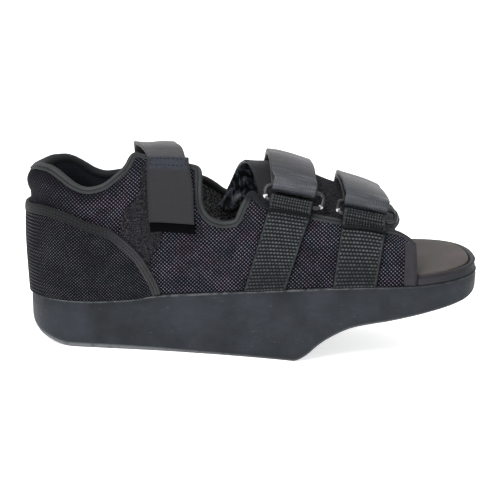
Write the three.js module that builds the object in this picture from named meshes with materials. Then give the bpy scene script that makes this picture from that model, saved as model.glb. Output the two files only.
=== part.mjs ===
// Post operative shoe with a forefoot relief sole, left foot, open toe.
// Lengths are in millimetres. X runs from heel to toe, Y towards the outer (far) side and Z up.
// The inner side, at negative Y, carries the rings and webbing.

import * as THREE from 'three';

// Sole sizes
const SOLE_LENGTH = 280;
const HEEL_WIDTH = 72;
const BALL_WIDTH = 110;
const HEEL_ROUND = 38;
const TOE_ROUND = 56;
const TOE_SHIFT = 11;
const HEEL_STACK = 29.5;
const TOE_STACK = 58.5;
const HEEL_BEVEL = 14;
const FOREFOOT_LIFT = 49.5;
const SOLE_DRAFT = 1.6;
const TOE_DRAFT = 0.6;
const SOLE_CORNER = 1.6;
const SOLE_EDGE = 1.1;

// Footbed sizes
const MIDSOLE_THICKNESS = 5.4;
const MIDSOLE_LIP = 4.6;
const LIP_EDGE = 1.1;
const RECESS_DEPTH = 2.6;
const INSOLE_THICKNESS = 2.8;
const INSOLE_GROOVE = 1.0;
const TOE_INSET = 0.9;

// Upper sizes
const COLLAR_RISE = 83;
const CREST_RISE = 91;
const WALL = 3;
const SIDE_SWELL = 2.4;
const UPPER_INSET = 1;
const NEAR_OPEN_TOE = 240.5;
const FAR_OPEN_TOE = 231;
const BULGE_RISE = 85;
const BINDING_WIDTH = 3.5;
const BINDING_STEP = 0.5;
const TOE_BAND_WIDTH = 7.6;
const TOE_BAND_STEP = 0.5;
const COLLAR_PAD = 2.2;
const COLLAR_PAD_DEPTH = 20;
const COLLAR_PAD_END = 0.19;
const COLLAR_PAD_FADE = 0.04;
const EDGE_ROUND = 1.1;
const STEP_RUN = 0.4;
const STRAP_SEAT = 1;
const FLAP_THICKNESS = 2.6;
const FLAP_TUCK = 13;
const FLAP_ROLL = 2;
const FLAP_ROLL_START = 0.93;
const FLAP_BACK = 0.488;
const FLAP_FRONT = 0.828;
const FLAP_NEAR_SWEEP = 0.012;
const FLAP_FAR_SWEEP = 0.075;
const FLAP_FRONT_SWEEP = 0.02;
const FLAP_SWEEP_POWER = 1.2;
const FLAP_LEAST_RISE = 0.35;
const COUNTER_THICKNESS = 1.8;
const COUNTER_BINDING = 0.6;
const PATCH_THICKNESS = 1;
const PATCH_BACK = 0.236;
const PATCH_FRONT = 0.309;
const PATCH_MARGIN = 2;

// Straps, webbing and rings
const STRAP_WIDTH = 25.4;
const STRAP_THICKNESS = 1.5;
const WEBBING_WIDTH = 26;
const WEBBING_THICKNESS = 1.5;
const STRAP_FAR_FOOT = 10;
const STRAP_FREE_END = 36;
const STRAP_DOUBLED = 17.5;
const HOOK_THICKNESS = 1;
const HOOK_EXTRA_WIDTH = 2;
const HOOK_SHIFT = 1.5;
const HOOK_OVERHANG = 6;
const HOOK_LENGTH = 10;
const RING_WIRE = 2.8;
const RING_BAR_GAP = 9.4;
const RING_LENGTH = 35;
const RING_PLAY = 0.5;
const BAR_LEAD = 3.5;
const SEWN_DOWN = 22;

// Gap between pieces, and the play that facets of two forms need on top of it
const CLEARANCE = 0.3;
const FACET_PLAY = 0.3;

// Fineness of the facets: counts of steps, and the longest step along a quarter
const HEEL_STEPS = 7;
const SIDE_STEPS = 20;
const TOE_STEPS = 9;
const TIP = 0.1;
const HEEL_TURN_STEPS = 9;
const STATION_STEP = 8;
const RING_TURN_STEPS = 7;
const RING_SIDES = 8;
const WRAP_STEPS = 6;
const STRAP_FAR_STEPS = 9;
const STRAP_NEAR_STEPS = 6;
const STRAP_RETURN_STEPS = 7;
const WEBBING_STEPS = 8;
const ANKLE_STEPS = 26;
const HOOK_STEPS = 3;
const PATCH_ALONG_STEPS = 4;
const PATCH_UP_STEPS = 5;

// Short distances that directions on the surface are measured over
const SAMPLE = 0.4;
const TURN_SAMPLE = 0.02;
const RING_ALONG_SAMPLE = 8;
const RING_ACROSS_SAMPLE = 4;
const TINY = 0.001;

// Plan of the sole: half widths on the near and far side, as shares of the heel and ball widths
const PLAN = [
  { x: 0.136, nearHeel: 0.5, nearBall: 0, farHeel: 0.5, farBall: 0 },
  { x: 0.284, nearHeel: 0.505, nearBall: 0, farHeel: 0.52, farBall: 0 },
  { x: 0.43, nearHeel: 0.3, nearBall: 0.155, farHeel: 0.32, farBall: 0.165 },
  { x: 0.567, nearHeel: 0.1, nearBall: 0.325, farHeel: 0.1, farBall: 0.36 },
  { x: 0.68, nearHeel: 0, nearBall: 0.442, farHeel: 0, farBall: 0.478 },
  { x: 0.8, nearHeel: 0, nearBall: 0.503, farHeel: 0, farBall: 0.5 },
];
const HEEL_POWER = 2.1;
const NEAR_TOE_POWER = 2.7;
const FAR_TOE_POWER = 2.3;

// Side view of the sole: x as a share of its length, rise of the top line from heel to toe stack
const RIM = [
  { x: 0, rise: 0 },
  { x: 0.142, rise: 0.007 },
  { x: 0.21, rise: 0.052 },
  { x: 0.255, rise: 0.104 },
  { x: 0.29, rise: 0.184 },
  { x: 0.39, rise: 0.295 },
  { x: 0.53, rise: 0.448 },
  { x: 0.69, rise: 0.649 },
  { x: 0.773, rise: 0.747 },
  { x: 0.87, rise: 0.826 },
  { x: 1, rise: 1 },
];

// Underside of the sole: the heel bevel, the flat that it stands on and the forefoot relief
const UNDERSIDE = [
  { x: 0, bevel: 1, lift: 0 },
  { x: 0.013, bevel: 0.68, lift: 0 },
  { x: 0.036, bevel: 0.36, lift: 0 },
  { x: 0.062, bevel: 0.18, lift: 0 },
  { x: 0.082, bevel: 0.07, lift: 0 },
  { x: 0.108, bevel: 0, lift: 0 },
  { x: 0.606, bevel: 0, lift: 0 },
  { x: 0.627, bevel: 0, lift: 0.06 },
  { x: 0.661, bevel: 0, lift: 0.25 },
  { x: 0.695, bevel: 0, lift: 0.395 },
  { x: 0.729, bevel: 0, lift: 0.5 },
  { x: 0.78, bevel: 0, lift: 0.585 },
  { x: 0.83, bevel: 0, lift: 0.65 },
  { x: 0.898, bevel: 0, lift: 0.755 },
  { x: 0.948, bevel: 0, lift: 0.845 },
  { x: 0.98, bevel: 0, lift: 0.915 },
  { x: 1, bevel: 0, lift: 1 },
];

// Cross sections of the last above the top line: crest height as a share of CREST_RISE,
// squareness (the power of the superellipse) and outward swell as a share of SIDE_SWELL
const SECTIONS = [
  { x: 0, crest: 1.264, square: 4, swell: 1 },
  { x: 0.14, crest: 1.08, square: 3.8, swell: 0.92 },
  { x: 0.236, crest: 1, square: 3.2, swell: 0.92 },
  { x: 0.32, crest: 0.965, square: 3.1, swell: 0.75 },
  { x: 0.39, crest: 0.93, square: 3, swell: 0.67 },
  { x: 0.498, crest: 0.852, square: 2.7, swell: 0.5 },
  { x: 0.53, crest: 0.842, square: 2.5, swell: 0.5 },
  { x: 0.62, crest: 0.745, square: 2.35, swell: 0.5 },
  { x: 0.668, crest: 0.672, square: 2.3, swell: 0.5 },
  { x: 0.775, crest: 0.527, square: 2.3, swell: 0.42 },
  { x: 0.83, crest: 0.39, square: 2.25, swell: 0.25 },
  { x: 0.861, crest: 0.33, square: 2.2, swell: 0.21 },
  { x: 1, crest: 0.242, square: 2.2, swell: 0.21 },
];

// Top edges of the near and far quarters: height over the top line as a share of COLLAR_RISE
const NEAR_EDGE = [
  { x: 0, rise: 0.97 },
  { x: 0.024, rise: 1 },
  { x: 0.045, rise: 1 },
  { x: 0.065, rise: 0.983 },
  { x: 0.095, rise: 0.933 },
  { x: 0.125, rise: 0.878 },
  { x: 0.148, rise: 0.857 },
  { x: 0.179, rise: 0.877 },
  { x: 0.2, rise: 0.927 },
  { x: 0.2165, rise: 0.973 },
  { x: 0.2245, rise: 1.01 },
  { x: 0.229, rise: 1.052 },
  { x: 0.236, rise: 1.07 },
  { x: 0.265, rise: 1.043 },
  { x: 0.32, rise: 0.989 },
  { x: 0.366, rise: 0.945 },
  { x: 0.38, rise: 0.927 },
  { x: 0.3855, rise: 0.905 },
  { x: 0.389, rise: 0.86 },
  { x: 0.3905, rise: 0.79 },
  { x: 0.3925, rise: 0.72 },
  { x: 0.398, rise: 0.655 },
  { x: 0.408, rise: 0.602 },
  { x: 0.424, rise: 0.557 },
  { x: 0.446, rise: 0.534 },
  { x: 0.467, rise: 0.54 },
  { x: 0.474, rise: 0.6 },
  { x: 0.484, rise: 0.672 },
  { x: 0.495, rise: 0.737 },
  { x: 0.504, rise: 0.765 },
  { x: 0.513, rise: 0.73 },
  { x: 0.523, rise: 0.67 },
  { x: 0.545, rise: 0.63 },
  { x: 0.605, rise: 0.585 },
  { x: 0.644, rise: 0.535 },
  { x: 0.702, rise: 0.482 },
  { x: 0.775, rise: 0.418 },
  { x: 0.804, rise: 0.388 },
  { x: 0.84, rise: 0.322 },
  { x: 0.859, rise: 0.27 },
];
const FAR_EDGE = [
  { x: 0, rise: 0.97 },
  { x: 0.024, rise: 1 },
  { x: 0.045, rise: 1 },
  { x: 0.065, rise: 0.983 },
  { x: 0.095, rise: 0.933 },
  { x: 0.125, rise: 0.878 },
  { x: 0.148, rise: 0.86 },
  { x: 0.179, rise: 0.872 },
  { x: 0.22, rise: 0.89 },
  { x: 0.3, rise: 0.85 },
  { x: 0.36, rise: 0.775 },
  { x: 0.385, rise: 0.74 },
  { x: 0.41, rise: 0.68 },
  { x: 0.43, rise: 0.625 },
  { x: 0.445, rise: 0.61 },
  { x: 0.47, rise: 0.66 },
  { x: 0.495, rise: 0.72 },
  { x: 0.53, rise: 0.72 },
  { x: 0.605, rise: 0.62 },
  { x: 0.702, rise: 0.48 },
  { x: 0.79, rise: 0.36 },
  { x: 0.825, rise: 0.26 },
];

// Upper edge of the heel counter overlay, the same on both sides
const COUNTER_EDGE = [
  { x: 0, rise: 0.685 },
  { x: 0.05, rise: 0.7 },
  { x: 0.1, rise: 0.671 },
  { x: 0.154, rise: 0.6 },
  { x: 0.197, rise: 0.55 },
  { x: 0.23, rise: 0.468 },
  { x: 0.263, rise: 0.352 },
  { x: 0.289, rise: 0.204 },
  { x: 0.307, rise: 0.082 },
];

// Front straps: where each crosses sole line, ring and crest, as shares of the sole length,
// and the height of its ring over the top line as a share of CREST_RISE
const FASTENINGS = [
  { name: 'rear', soleX: 0.539, ringX: 0.59, crestX: 0.574, ringRise: 0.59 },
  { name: 'front', soleX: 0.73, ringX: 0.744, crestX: 0.731, ringRise: 0.445 },
];

// Ankle strap: centre line at its near end, the near tab, the crest and the far end
const ANKLE_NEAR_X = 0.327;
const ANKLE_TAB_X = 0.315;
const ANKLE_CREST_X = 0.278;
const ANKLE_FAR_X = 0.265;
const ANKLE_NEAR_RISE = 46;
const ANKLE_TAB_RISE = 82;
const ANKLE_FAR_RISE = 48;
const ANKLE_FREE = 16;

const NEAR = -1;
const FAR = 1;

// Returns a smooth curve through a table's rows that never overshoots them
function curve(rows, value) {
  const xs = rows.map((row) => row.x * SOLE_LENGTH);
  const ys = rows.map(value);
  const last = xs.length - 1;
  const steps = xs.slice(1).map((x, i) => x - xs[i]);
  const slopes = steps.map((step, i) => (ys[i + 1] - ys[i]) / step);
  const tangents = ys.map((_, i) => {
    if (i === 0) return slopes[0];
    if (i === last) return slopes[last - 1];
    if (slopes[i - 1] * slopes[i] <= 0) return 0;
    const before = 2 * steps[i] + steps[i - 1];
    const after = steps[i] + 2 * steps[i - 1];
    return (before + after) / (before / slopes[i - 1] + after / slopes[i]);
  });
  return (x) => {
    if (x <= xs[0]) return ys[0];
    if (x >= xs[last]) return ys[last];
    let i = 0;
    while (x > xs[i + 1]) i += 1;
    const t = (x - xs[i]) / steps[i];
    const rise = ys[i + 1] - ys[i];
    const a = tangents[i] * steps[i];
    const b = tangents[i + 1] * steps[i];
    return ys[i] + t * (a + t * (3 * rise - 2 * a - b + t * (a + b - 2 * rise)));
  };
}

const nearHalf = curve(PLAN, (row) => row.nearHeel * HEEL_WIDTH + row.nearBall * BALL_WIDTH);
const farHalf = curve(PLAN, (row) => row.farHeel * HEEL_WIDTH + row.farBall * BALL_WIDTH);
const rim = curve(RIM, (row) => HEEL_STACK + row.rise * (TOE_STACK - HEEL_STACK));
const underside = curve(UNDERSIDE, (row) => row.bevel * HEEL_BEVEL + row.lift * FOREFOOT_LIFT);
const crest = curve(SECTIONS, (row) => row.crest * CREST_RISE);
const square = curve(SECTIONS, (row) => row.square);
const swell = curve(SECTIONS, (row) => row.swell * SIDE_SWELL);
const nearEdge = curve(NEAR_EDGE, (row) => row.rise * COLLAR_RISE);
const farEdge = curve(FAR_EDGE, (row) => row.rise * COLLAR_RISE);
const counterEdge = curve(COUNTER_EDGE, (row) => row.rise * COLLAR_RISE);

function lerp(a, b, t) {
  return a + (b - a) * t;
}

function clamp01(t) {
  return Math.min(Math.max(t, 0), 1);
}

// Even shares from 0 to 1
function evenShares(steps) {
  return Array.from({ length: steps + 1 }, (_, i) => i / steps);
}

// Way along the outline, signed: 0 at the back of the heel, negative on the near side
function xOfWay(way) {
  const reach = Math.abs(way);
  const quarter = (HEEL_ROUND * Math.PI) / 2;
  if (reach < quarter) return HEEL_ROUND * (1 - Math.cos(reach / HEEL_ROUND));
  return HEEL_ROUND + reach - quarter;
}

function wayOfX(x, side) {
  if (x < HEEL_ROUND) return side * HEEL_ROUND * Math.acos(1 - x / HEEL_ROUND);
  return side * (x - HEEL_ROUND + (HEEL_ROUND * Math.PI) / 2);
}

// Signed half width of the sole at x
function halfWidth(x, side) {
  const half = side === NEAR ? nearHalf : farHalf;
  if (x < HEEL_ROUND) {
    const u = 1 - x / HEEL_ROUND;
    return side * half(0) * (1 - u ** HEEL_POWER) ** (1 / HEEL_POWER);
  }
  const toeStart = SOLE_LENGTH - TOE_ROUND;
  if (x < toeStart) return side * half(x);
  const u = Math.min((x - toeStart) / TOE_ROUND, 1);
  const power = side === NEAR ? NEAR_TOE_POWER : FAR_TOE_POWER;
  const reach = half(toeStart) + side * TOE_SHIFT;
  return -TOE_SHIFT + side * reach * (1 - u ** power) ** (1 / power);
}

// Point on the sole's plan outline, moved inwards by inset
function planPoint(x, side, inset) {
  const low = Math.max(x - SAMPLE, TINY);
  const high = Math.min(x + SAMPLE, SOLE_LENGTH - TINY);
  const along = new THREE.Vector2(high - low, halfWidth(high, side) - halfWidth(low, side)).normalize();
  const inward = new THREE.Vector2(-along.y, along.x).multiplyScalar(-side);
  return new THREE.Vector2(x, halfWidth(x, side)).addScaledVector(inward, inset);
}

// Point of the last's surface from its plan point, height over the top line and lean
function surfacePoint(x, side, height, lean) {
  const foot = planPoint(x, side, UPPER_INSET);
  const spine = new THREE.Vector2(Math.max(x, HEEL_ROUND), 0);
  const reach = spine.distanceTo(foot);
  const inward = spine.sub(foot).divideScalar(reach);
  const puff = swell(x) * Math.sin(Math.PI * Math.min(height / Math.min(BULGE_RISE, crest(x)), 1));
  foot.addScaledVector(inward, reach * lean - puff);
  return new THREE.Vector3(foot.x, foot.y, rim(x) + height);
}

function wallSurface(way, height) {
  const x = Math.max(xOfWay(way), TINY);
  const side = way < 0 ? NEAR : FAR;
  const share = Math.min(height / crest(x), 1);
  const power = square(x);
  return surfacePoint(x, side, height, 1 - (1 - share ** power) ** (1 / power));
}

// Point on the wall at a way and height, moved outwards along the surface's normal
function wallPoint(way, height, offset) {
  const ahead = wallSurface(way + SAMPLE, height).sub(wallSurface(way - SAMPLE, height));
  const up = wallSurface(way, height + SAMPLE).sub(wallSurface(way, Math.max(height - SAMPLE, 0)));
  const normal = up.cross(ahead).normalize();
  return wallSurface(way, height).addScaledVector(normal, offset);
}

// Cross section at x over the crest, by an angle that is 0 at the crest and negative near
function sectionSurface(x, angle) {
  const power = square(x);
  const side = angle < 0 ? NEAR : FAR;
  const across = Math.abs(Math.sin(angle));
  const rise = Math.max(Math.cos(angle), 0);
  const size = (across ** power + rise ** power) ** (1 / power);
  return surfacePoint(x, side, (crest(x) * rise) / size, 1 - across / size);
}

const SECTION_STEPS = 40;
const sectionCache = new Map();

// Girth from the crest at even angles, for the near and far side
function sectionTable(x) {
  const key = x.toFixed(2);
  if (!sectionCache.has(key)) {
    const sides = [NEAR, FAR].map((side) => {
      const girth = [0];
      let before = sectionSurface(x, 0);
      for (let i = 1; i <= SECTION_STEPS; i += 1) {
        const point = sectionSurface(x, (side * Math.PI * i) / (2 * SECTION_STEPS));
        girth.push(girth[i - 1] + point.distanceTo(before));
        before = point;
      }
      return girth;
    });
    sectionCache.set(key, sides);
  }
  return sectionCache.get(key);
}

// Full girth from crest to top line on one side
function fullGirth(x, side) {
  return sectionTable(x)[side === NEAR ? 0 : 1][SECTION_STEPS];
}

function angleAt(x, girth) {
  const table = sectionTable(x)[girth < 0 ? 0 : 1];
  const reach = Math.min(Math.abs(girth), table[SECTION_STEPS]);
  let i = 0;
  while (i < SECTION_STEPS - 1 && table[i + 1] < reach) i += 1;
  const share = i + (reach - table[i]) / (table[i + 1] - table[i]);
  return (Math.sign(girth) * share * Math.PI) / (2 * SECTION_STEPS);
}

// Girth from the crest at which the section has a given height over the top line
function girthAtHeight(x, side, height) {
  const table = sectionTable(x)[side === NEAR ? 0 : 1];
  for (let i = 1; i <= SECTION_STEPS; i += 1) {
    const above = sectionSurface(x, (side * Math.PI * (i - 1)) / (2 * SECTION_STEPS)).z - rim(x);
    const below = sectionSurface(x, (side * Math.PI * i) / (2 * SECTION_STEPS)).z - rim(x);
    if (below <= height) return side * lerp(table[i - 1], table[i], (above - height) / (above - below));
  }
  return side * table[SECTION_STEPS];
}

// Point over the instep at x and girth from the crest, moved outwards
function instepPoint(x, girth, offset) {
  const angle = angleAt(x, girth);
  const limit = Math.PI / 2;
  const over = sectionSurface(x, Math.min(angle + TURN_SAMPLE, limit));
  const across = over.sub(sectionSurface(x, Math.max(angle - TURN_SAMPLE, -limit)));
  const ahead = sectionSurface(x + SAMPLE, angle).sub(sectionSurface(x - SAMPLE, angle));
  const normal = ahead.cross(across).normalize();
  return sectionSurface(x, angle).addScaledVector(normal, offset);
}

// Closed body from a list of points and a list of faces with three or four corners
function body(points, faces) {
  const index = [];
  faces.forEach((face) => {
    index.push(face[0], face[1], face[2]);
    if (face.length === 4) index.push(face[0], face[2], face[3]);
  });
  let volume = 0;
  for (let i = 0; i < index.length; i += 3) {
    const [a, b, c] = [points[index[i]], points[index[i + 1]], points[index[i + 2]]];
    volume += a.dot(b.clone().cross(c));
  }
  const flat = points.flatMap((point) => [point.x, point.y, point.z]);
  const geometry = new THREE.BufferGeometry();
  geometry.setAttribute('position', new THREE.Float32BufferAttribute(flat, 3));
  geometry.setIndex(volume < 0 ? index.reverse() : index);
  geometry.computeVertexNormals();
  return geometry;
}

// Solid between an outer and an inner grid of points of the same size
function slab(outer, inner) {
  const rows = outer.length;
  const cols = outer[0].length;
  const points = [...outer.flat(), ...inner.flat()];
  const top = (i, j) => i * cols + j;
  const low = (i, j) => rows * cols + i * cols + j;
  const faces = [];
  for (let i = 0; i < rows - 1; i += 1) {
    for (let j = 0; j < cols - 1; j += 1) {
      faces.push([top(i, j), top(i + 1, j), top(i + 1, j + 1), top(i, j + 1)]);
      faces.push([low(i, j), low(i, j + 1), low(i + 1, j + 1), low(i + 1, j)]);
    }
    faces.push([top(i, 0), low(i, 0), low(i + 1, 0), top(i + 1, 0)]);
    faces.push([top(i, cols - 1), top(i + 1, cols - 1), low(i + 1, cols - 1), low(i, cols - 1)]);
  }
  for (let j = 0; j < cols - 1; j += 1) {
    faces.push([top(0, j), top(0, j + 1), low(0, j + 1), low(0, j)]);
    faces.push([top(rows - 1, j), low(rows - 1, j), low(rows - 1, j + 1), top(rows - 1, j + 1)]);
  }
  return body(points, faces);
}

// Solid layer of one thickness about a grid of middle points
function layer(middle, thickness) {
  const rows = middle.length;
  const cols = middle[0].length;
  const shifted = (side) => middle.map((row, i) => row.map((point, j) => {
    const along = middle[Math.min(i + 1, rows - 1)][j].clone().sub(middle[Math.max(i - 1, 0)][j]);
    const across = row[Math.min(j + 1, cols - 1)].clone().sub(row[Math.max(j - 1, 0)]);
    const normal = along.cross(across).normalize();
    return point.clone().addScaledVector(normal, (side * thickness) / 2);
  }));
  return slab(shifted(1), shifted(-1));
}

// Solid across the shoe from near and far rows of section points, from the bottom to the top
function crossBody(stations, sectionAt) {
  const points = [];
  stations.forEach((x) => points.push(...sectionAt(x, NEAR), ...sectionAt(x, FAR)));
  const count = sectionAt(stations[0], NEAR).length;
  const near = (i, k) => 2 * i * count + k;
  const far = (i, k) => (2 * i + 1) * count + k;
  const end = stations.length - 1;
  const faces = [];
  for (let i = 0; i < end; i += 1) {
    for (let k = 0; k < count - 1; k += 1) {
      faces.push([near(i, k), near(i + 1, k), near(i + 1, k + 1), near(i, k + 1)]);
      faces.push([far(i, k), far(i, k + 1), far(i + 1, k + 1), far(i + 1, k)]);
    }
    faces.push([near(i, count - 1), near(i + 1, count - 1), far(i + 1, count - 1), far(i, count - 1)]);
    faces.push([near(i, 0), far(i, 0), far(i + 1, 0), near(i + 1, 0)]);
  }
  for (let k = 0; k < count - 1; k += 1) {
    faces.push([near(0, k), near(0, k + 1), far(0, k + 1), far(0, k)]);
    faces.push([near(end, k), far(end, k), far(end, k + 1), near(end, k + 1)]);
  }
  return body(points, faces);
}

// Stations along the sole, close together round the heel and the toe
function soleStations(extra) {
  const stations = [];
  const toeStart = SOLE_LENGTH - TOE_ROUND;
  const turn = Math.PI / 2;
  for (let i = 0.5; i < HEEL_STEPS; i += 1) {
    stations.push(HEEL_ROUND * (1 - Math.cos((turn * i) / HEEL_STEPS)));
  }
  for (let i = 0; i < SIDE_STEPS; i += 1) stations.push(lerp(HEEL_ROUND, toeStart, i / SIDE_STEPS));
  for (let i = 0; i < TOE_STEPS; i += 1) {
    stations.push(toeStart + TOE_ROUND * Math.sin((turn * i) / TOE_STEPS));
  }
  stations.push(SOLE_LENGTH - TIP);
  return [...stations, ...extra].sort((a, b) => a - b);
}

// Point of a section that lies on the plan outline, inset, at a height given by x
function solePoint(x, side, inset, heightAt) {
  const plan = planPoint(x, side, inset);
  return new THREE.Vector3(plan.x, plan.y, heightAt(plan.x));
}

// Where the underside breaks from the heel's bevel to the flat, and from there to the forefoot relief
const BEVEL_END = 0.1;
const RELIEF_START = 0.67;

function makeOutsole() {
  const section = (x, side) => {
    const draft = lerp(SOLE_DRAFT, TOE_DRAFT, clamp01(x / SOLE_LENGTH));
    return [
      solePoint(x, side, draft + SOLE_CORNER, underside),
      solePoint(x, side, draft, (at) => underside(at) + SOLE_CORNER),
      solePoint(x, side, 0, (at) => rim(at) - SOLE_EDGE),
      solePoint(x, side, SOLE_EDGE, rim),
    ];
  };
  const breaks = UNDERSIDE.filter((row) => row.x > BEVEL_END && row.x < RELIEF_START);
  return crossBody(soleStations(breaks.map((row) => row.x * SOLE_LENGTH)), section);
}

// Front end of a quarter at the open toe
function openToe(side) {
  return side === NEAR ? NEAR_OPEN_TOE : FAR_OPEN_TOE;
}

// Inset of the footbed: inside the upper's wall, and out to the edge at the open toe
function footbedInset(x, side) {
  return x < openToe(side) + 3 * CLEARANCE ? UPPER_INSET + WALL + 2 * CLEARANCE : TOE_INSET;
}

function footbedStations() {
  const steps = [NEAR, FAR].flatMap((side) => [openToe(side) + 2 * CLEARANCE, openToe(side) + 4 * CLEARANCE]);
  return soleStations(steps);
}

function makeMidsole() {
  const low = (at) => rim(at) + CLEARANCE;
  const top = (at) => low(at) + MIDSOLE_THICKNESS;
  const section = (x, side) => {
    const inset = footbedInset(x, side);
    return [
      solePoint(x, side, inset, low),
      solePoint(x, side, inset, (at) => top(at) - LIP_EDGE),
      solePoint(x, side, inset + LIP_EDGE, top),
      solePoint(x, side, inset + MIDSOLE_LIP, top),
      solePoint(x, side, inset + MIDSOLE_LIP + CLEARANCE, (at) => top(at) - RECESS_DEPTH),
    ];
  };
  return crossBody(footbedStations(), section);
}

function makeInsole() {
  const low = (at) => rim(at) + MIDSOLE_THICKNESS - RECESS_DEPTH + 2.5 * CLEARANCE;
  const top = (at) => low(at) + INSOLE_THICKNESS;
  const section = (x, side) => {
    const inset = footbedInset(x, side) + MIDSOLE_LIP + INSOLE_GROOVE;
    return [
      solePoint(x, side, inset, low),
      solePoint(x, side, inset, (at) => top(at) - LIP_EDGE / 2),
      solePoint(x, side, inset + LIP_EDGE / 2, top),
    ];
  };
  return crossBody(footbedStations(), section);
}

// Stations round one side of the heel
const HEEL_TURNS = evenShares(HEEL_TURN_STEPS).slice(1).map((share) => {
  return HEEL_ROUND * (1 - Math.cos((Math.PI * share) / 2));
});

// Stations along one quarter, from the open toe back to the heel, close where its edge is steep
function quarterStations(rows, side) {
  const inFront = openToe(side) - 2 * TOE_BAND_WIDTH;
  const shares = rows.map((row) => row.x * SOLE_LENGTH).filter((x) => x > HEEL_ROUND && x < inFront);
  const toeSteps = [0, 2 * STEP_RUN, TOE_BAND_WIDTH, TOE_BAND_WIDTH + STEP_RUN];
  const toeBand = toeSteps.map((back) => openToe(side) - back);
  const all = [...toeBand, ...shares, ...HEEL_TURNS].sort((a, b) => b - a);
  const filled = [all[0]];
  all.slice(1).forEach((x) => {
    const before = filled[filled.length - 1];
    const parts = x >= HEEL_ROUND ? Math.max(Math.ceil((before - x) / STATION_STEP), 1) : 1;
    for (let i = 1; i <= parts; i += 1) filled.push(lerp(before, x, i / parts));
  });
  return filled;
}

// Rows of the upper's wall, from its top edge down: the bound edge, the padded depth below it,
// as shares of that depth, and the rest, as shares of the height that is left
const PAD_SHARES = [0.4, 0.7, 1];
const PAD_LIMIT = 0.8;
const LOWER_SHARES = [0.75, 0.5, 0.27, 0.1];
const BOUND_ROWS = 3;

function wallHeights(edge) {
  const depth = Math.min(COLLAR_PAD_DEPTH, PAD_LIMIT * edge);
  const bound = [0, EDGE_ROUND, BINDING_WIDTH, BINDING_WIDTH + STEP_RUN];
  const padded = PAD_SHARES.map((share) => share * depth);
  const rows = [...bound, ...padded].map((below) => edge - below);
  return [...rows, ...LOWER_SHARES.map((share) => share * (edge - depth)), CLEARANCE + FACET_PLAY / 2];
}

function collarPad(x, depth) {
  const fade = 1 - clamp01((x - COLLAR_PAD_END * SOLE_LENGTH) / (COLLAR_PAD_FADE * SOLE_LENGTH));
  return fade * COLLAR_PAD * Math.sin(Math.PI * clamp01(depth / COLLAR_PAD_DEPTH));
}

function makeUpper() {
  const near = quarterStations(NEAR_EDGE, NEAR).map((x) => ({ x, side: NEAR, edge: nearEdge(x) }));
  const far = quarterStations(FAR_EDGE, FAR).map((x) => ({ x, side: FAR, edge: farEdge(x) }));
  const stations = [...near, { x: 0, side: FAR, edge: nearEdge(0) }, ...far.reverse()];
  const outer = [];
  const inner = [];
  stations.forEach(({ x, side, edge }) => {
    const way = wayOfX(x, side);
    const toEnd = openToe(side) - x;
    const band = toEnd < TOE_BAND_WIDTH + STEP_RUN / 2 ? TOE_BAND_STEP : 0;
    const tip = toEnd < STEP_RUN ? EDGE_ROUND / 2 : 0;
    const row = (face) => wallHeights(edge).map((height, k) => {
      const round = k === 0 ? EDGE_ROUND : 0;
      const pad = collarPad(x, edge - height);
      if (face < 0) return wallPoint(way, height, round - pad - WALL);
      return wallPoint(way, height, Math.max(k < BOUND_ROWS ? BINDING_STEP : 0, band) - round - tip + pad);
    });
    outer.push(row(1));
    inner.push(row(-1));
  });
  return slab(outer, inner);
}

// Stations of the counter in front of the heel's round, and its rows below the bound edge
const COUNTER_SIDES = [0.17, 0.34, 0.5, 0.64, 0.76, 0.86, 0.94, 1];
const COUNTER_ROWS = [0.75, 0.5, 0.25, 0];
const COUNTER_BOUND_LIMIT = 0.4;

function makeCounter() {
  const end = COUNTER_EDGE[COUNTER_EDGE.length - 1].x * SOLE_LENGTH;
  const sides = COUNTER_SIDES.map((share) => lerp(HEEL_ROUND, end, share));
  const far = [...HEEL_TURNS, ...sides].map((x) => wayOfX(x, FAR));
  const ways = [...far.map((way) => -way).reverse(), 0, ...far];
  const low = 2 * CLEARANCE;
  const grid = (face) => ways.map((way) => {
    const edge = counterEdge(xOfWay(way));
    const bound = Math.min(BINDING_WIDTH, COUNTER_BOUND_LIMIT * edge);
    const rest = COUNTER_ROWS.map((share) => lerp(low, edge - bound - EDGE_ROUND, share));
    return [edge, edge - bound / 3, edge - bound, edge - bound - STEP_RUN, ...rest].map((height, k) => {
      const step = k === 1 || k === 2 ? COUNTER_BINDING : 0;
      return wallPoint(way, height, CLEARANCE + FACET_PLAY + face * (COUNTER_THICKNESS + step));
    });
  });
  return slab(grid(1), grid(0));
}

// Loop pile patch under the ankle strap, between the counter and the top of the near tab
function makePatch() {
  const grid = (offset) => evenShares(PATCH_ALONG_STEPS).map((share) => {
    const x = lerp(PATCH_BACK, PATCH_FRONT, share) * SOLE_LENGTH;
    const low = counterEdge(x) + PATCH_MARGIN;
    const top = nearEdge(x) - BINDING_WIDTH - 2 * CLEARANCE;
    return evenShares(PATCH_UP_STEPS).map((up) => wallPoint(wayOfX(x, NEAR), lerp(low, top, up), offset));
  });
  const seat = CLEARANCE + BINDING_STEP;
  return slab(grid(seat + PATCH_THICKNESS), grid(seat));
}

// Instep flap: its rows from back to front, its columns from the crest down to a side, and how far
// from the crest its front edge is rolled in full and where the roll has faded out
const FLAP_ROWS = [0, 0.03, 0.1, 0.2, 0.3, 0.4, 0.5, 0.6, 0.7, 0.8, 0.88, 0.935, 0.955, 0.975, 0.99, 1];
const FLAP_COLUMNS = [0.12, 0.24, 0.36, 0.5, 0.64, 0.78, 0.9, 1];
const FLAP_ROLL_FULL = 0.22;
const FLAP_ROLL_END = 0.78;

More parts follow.
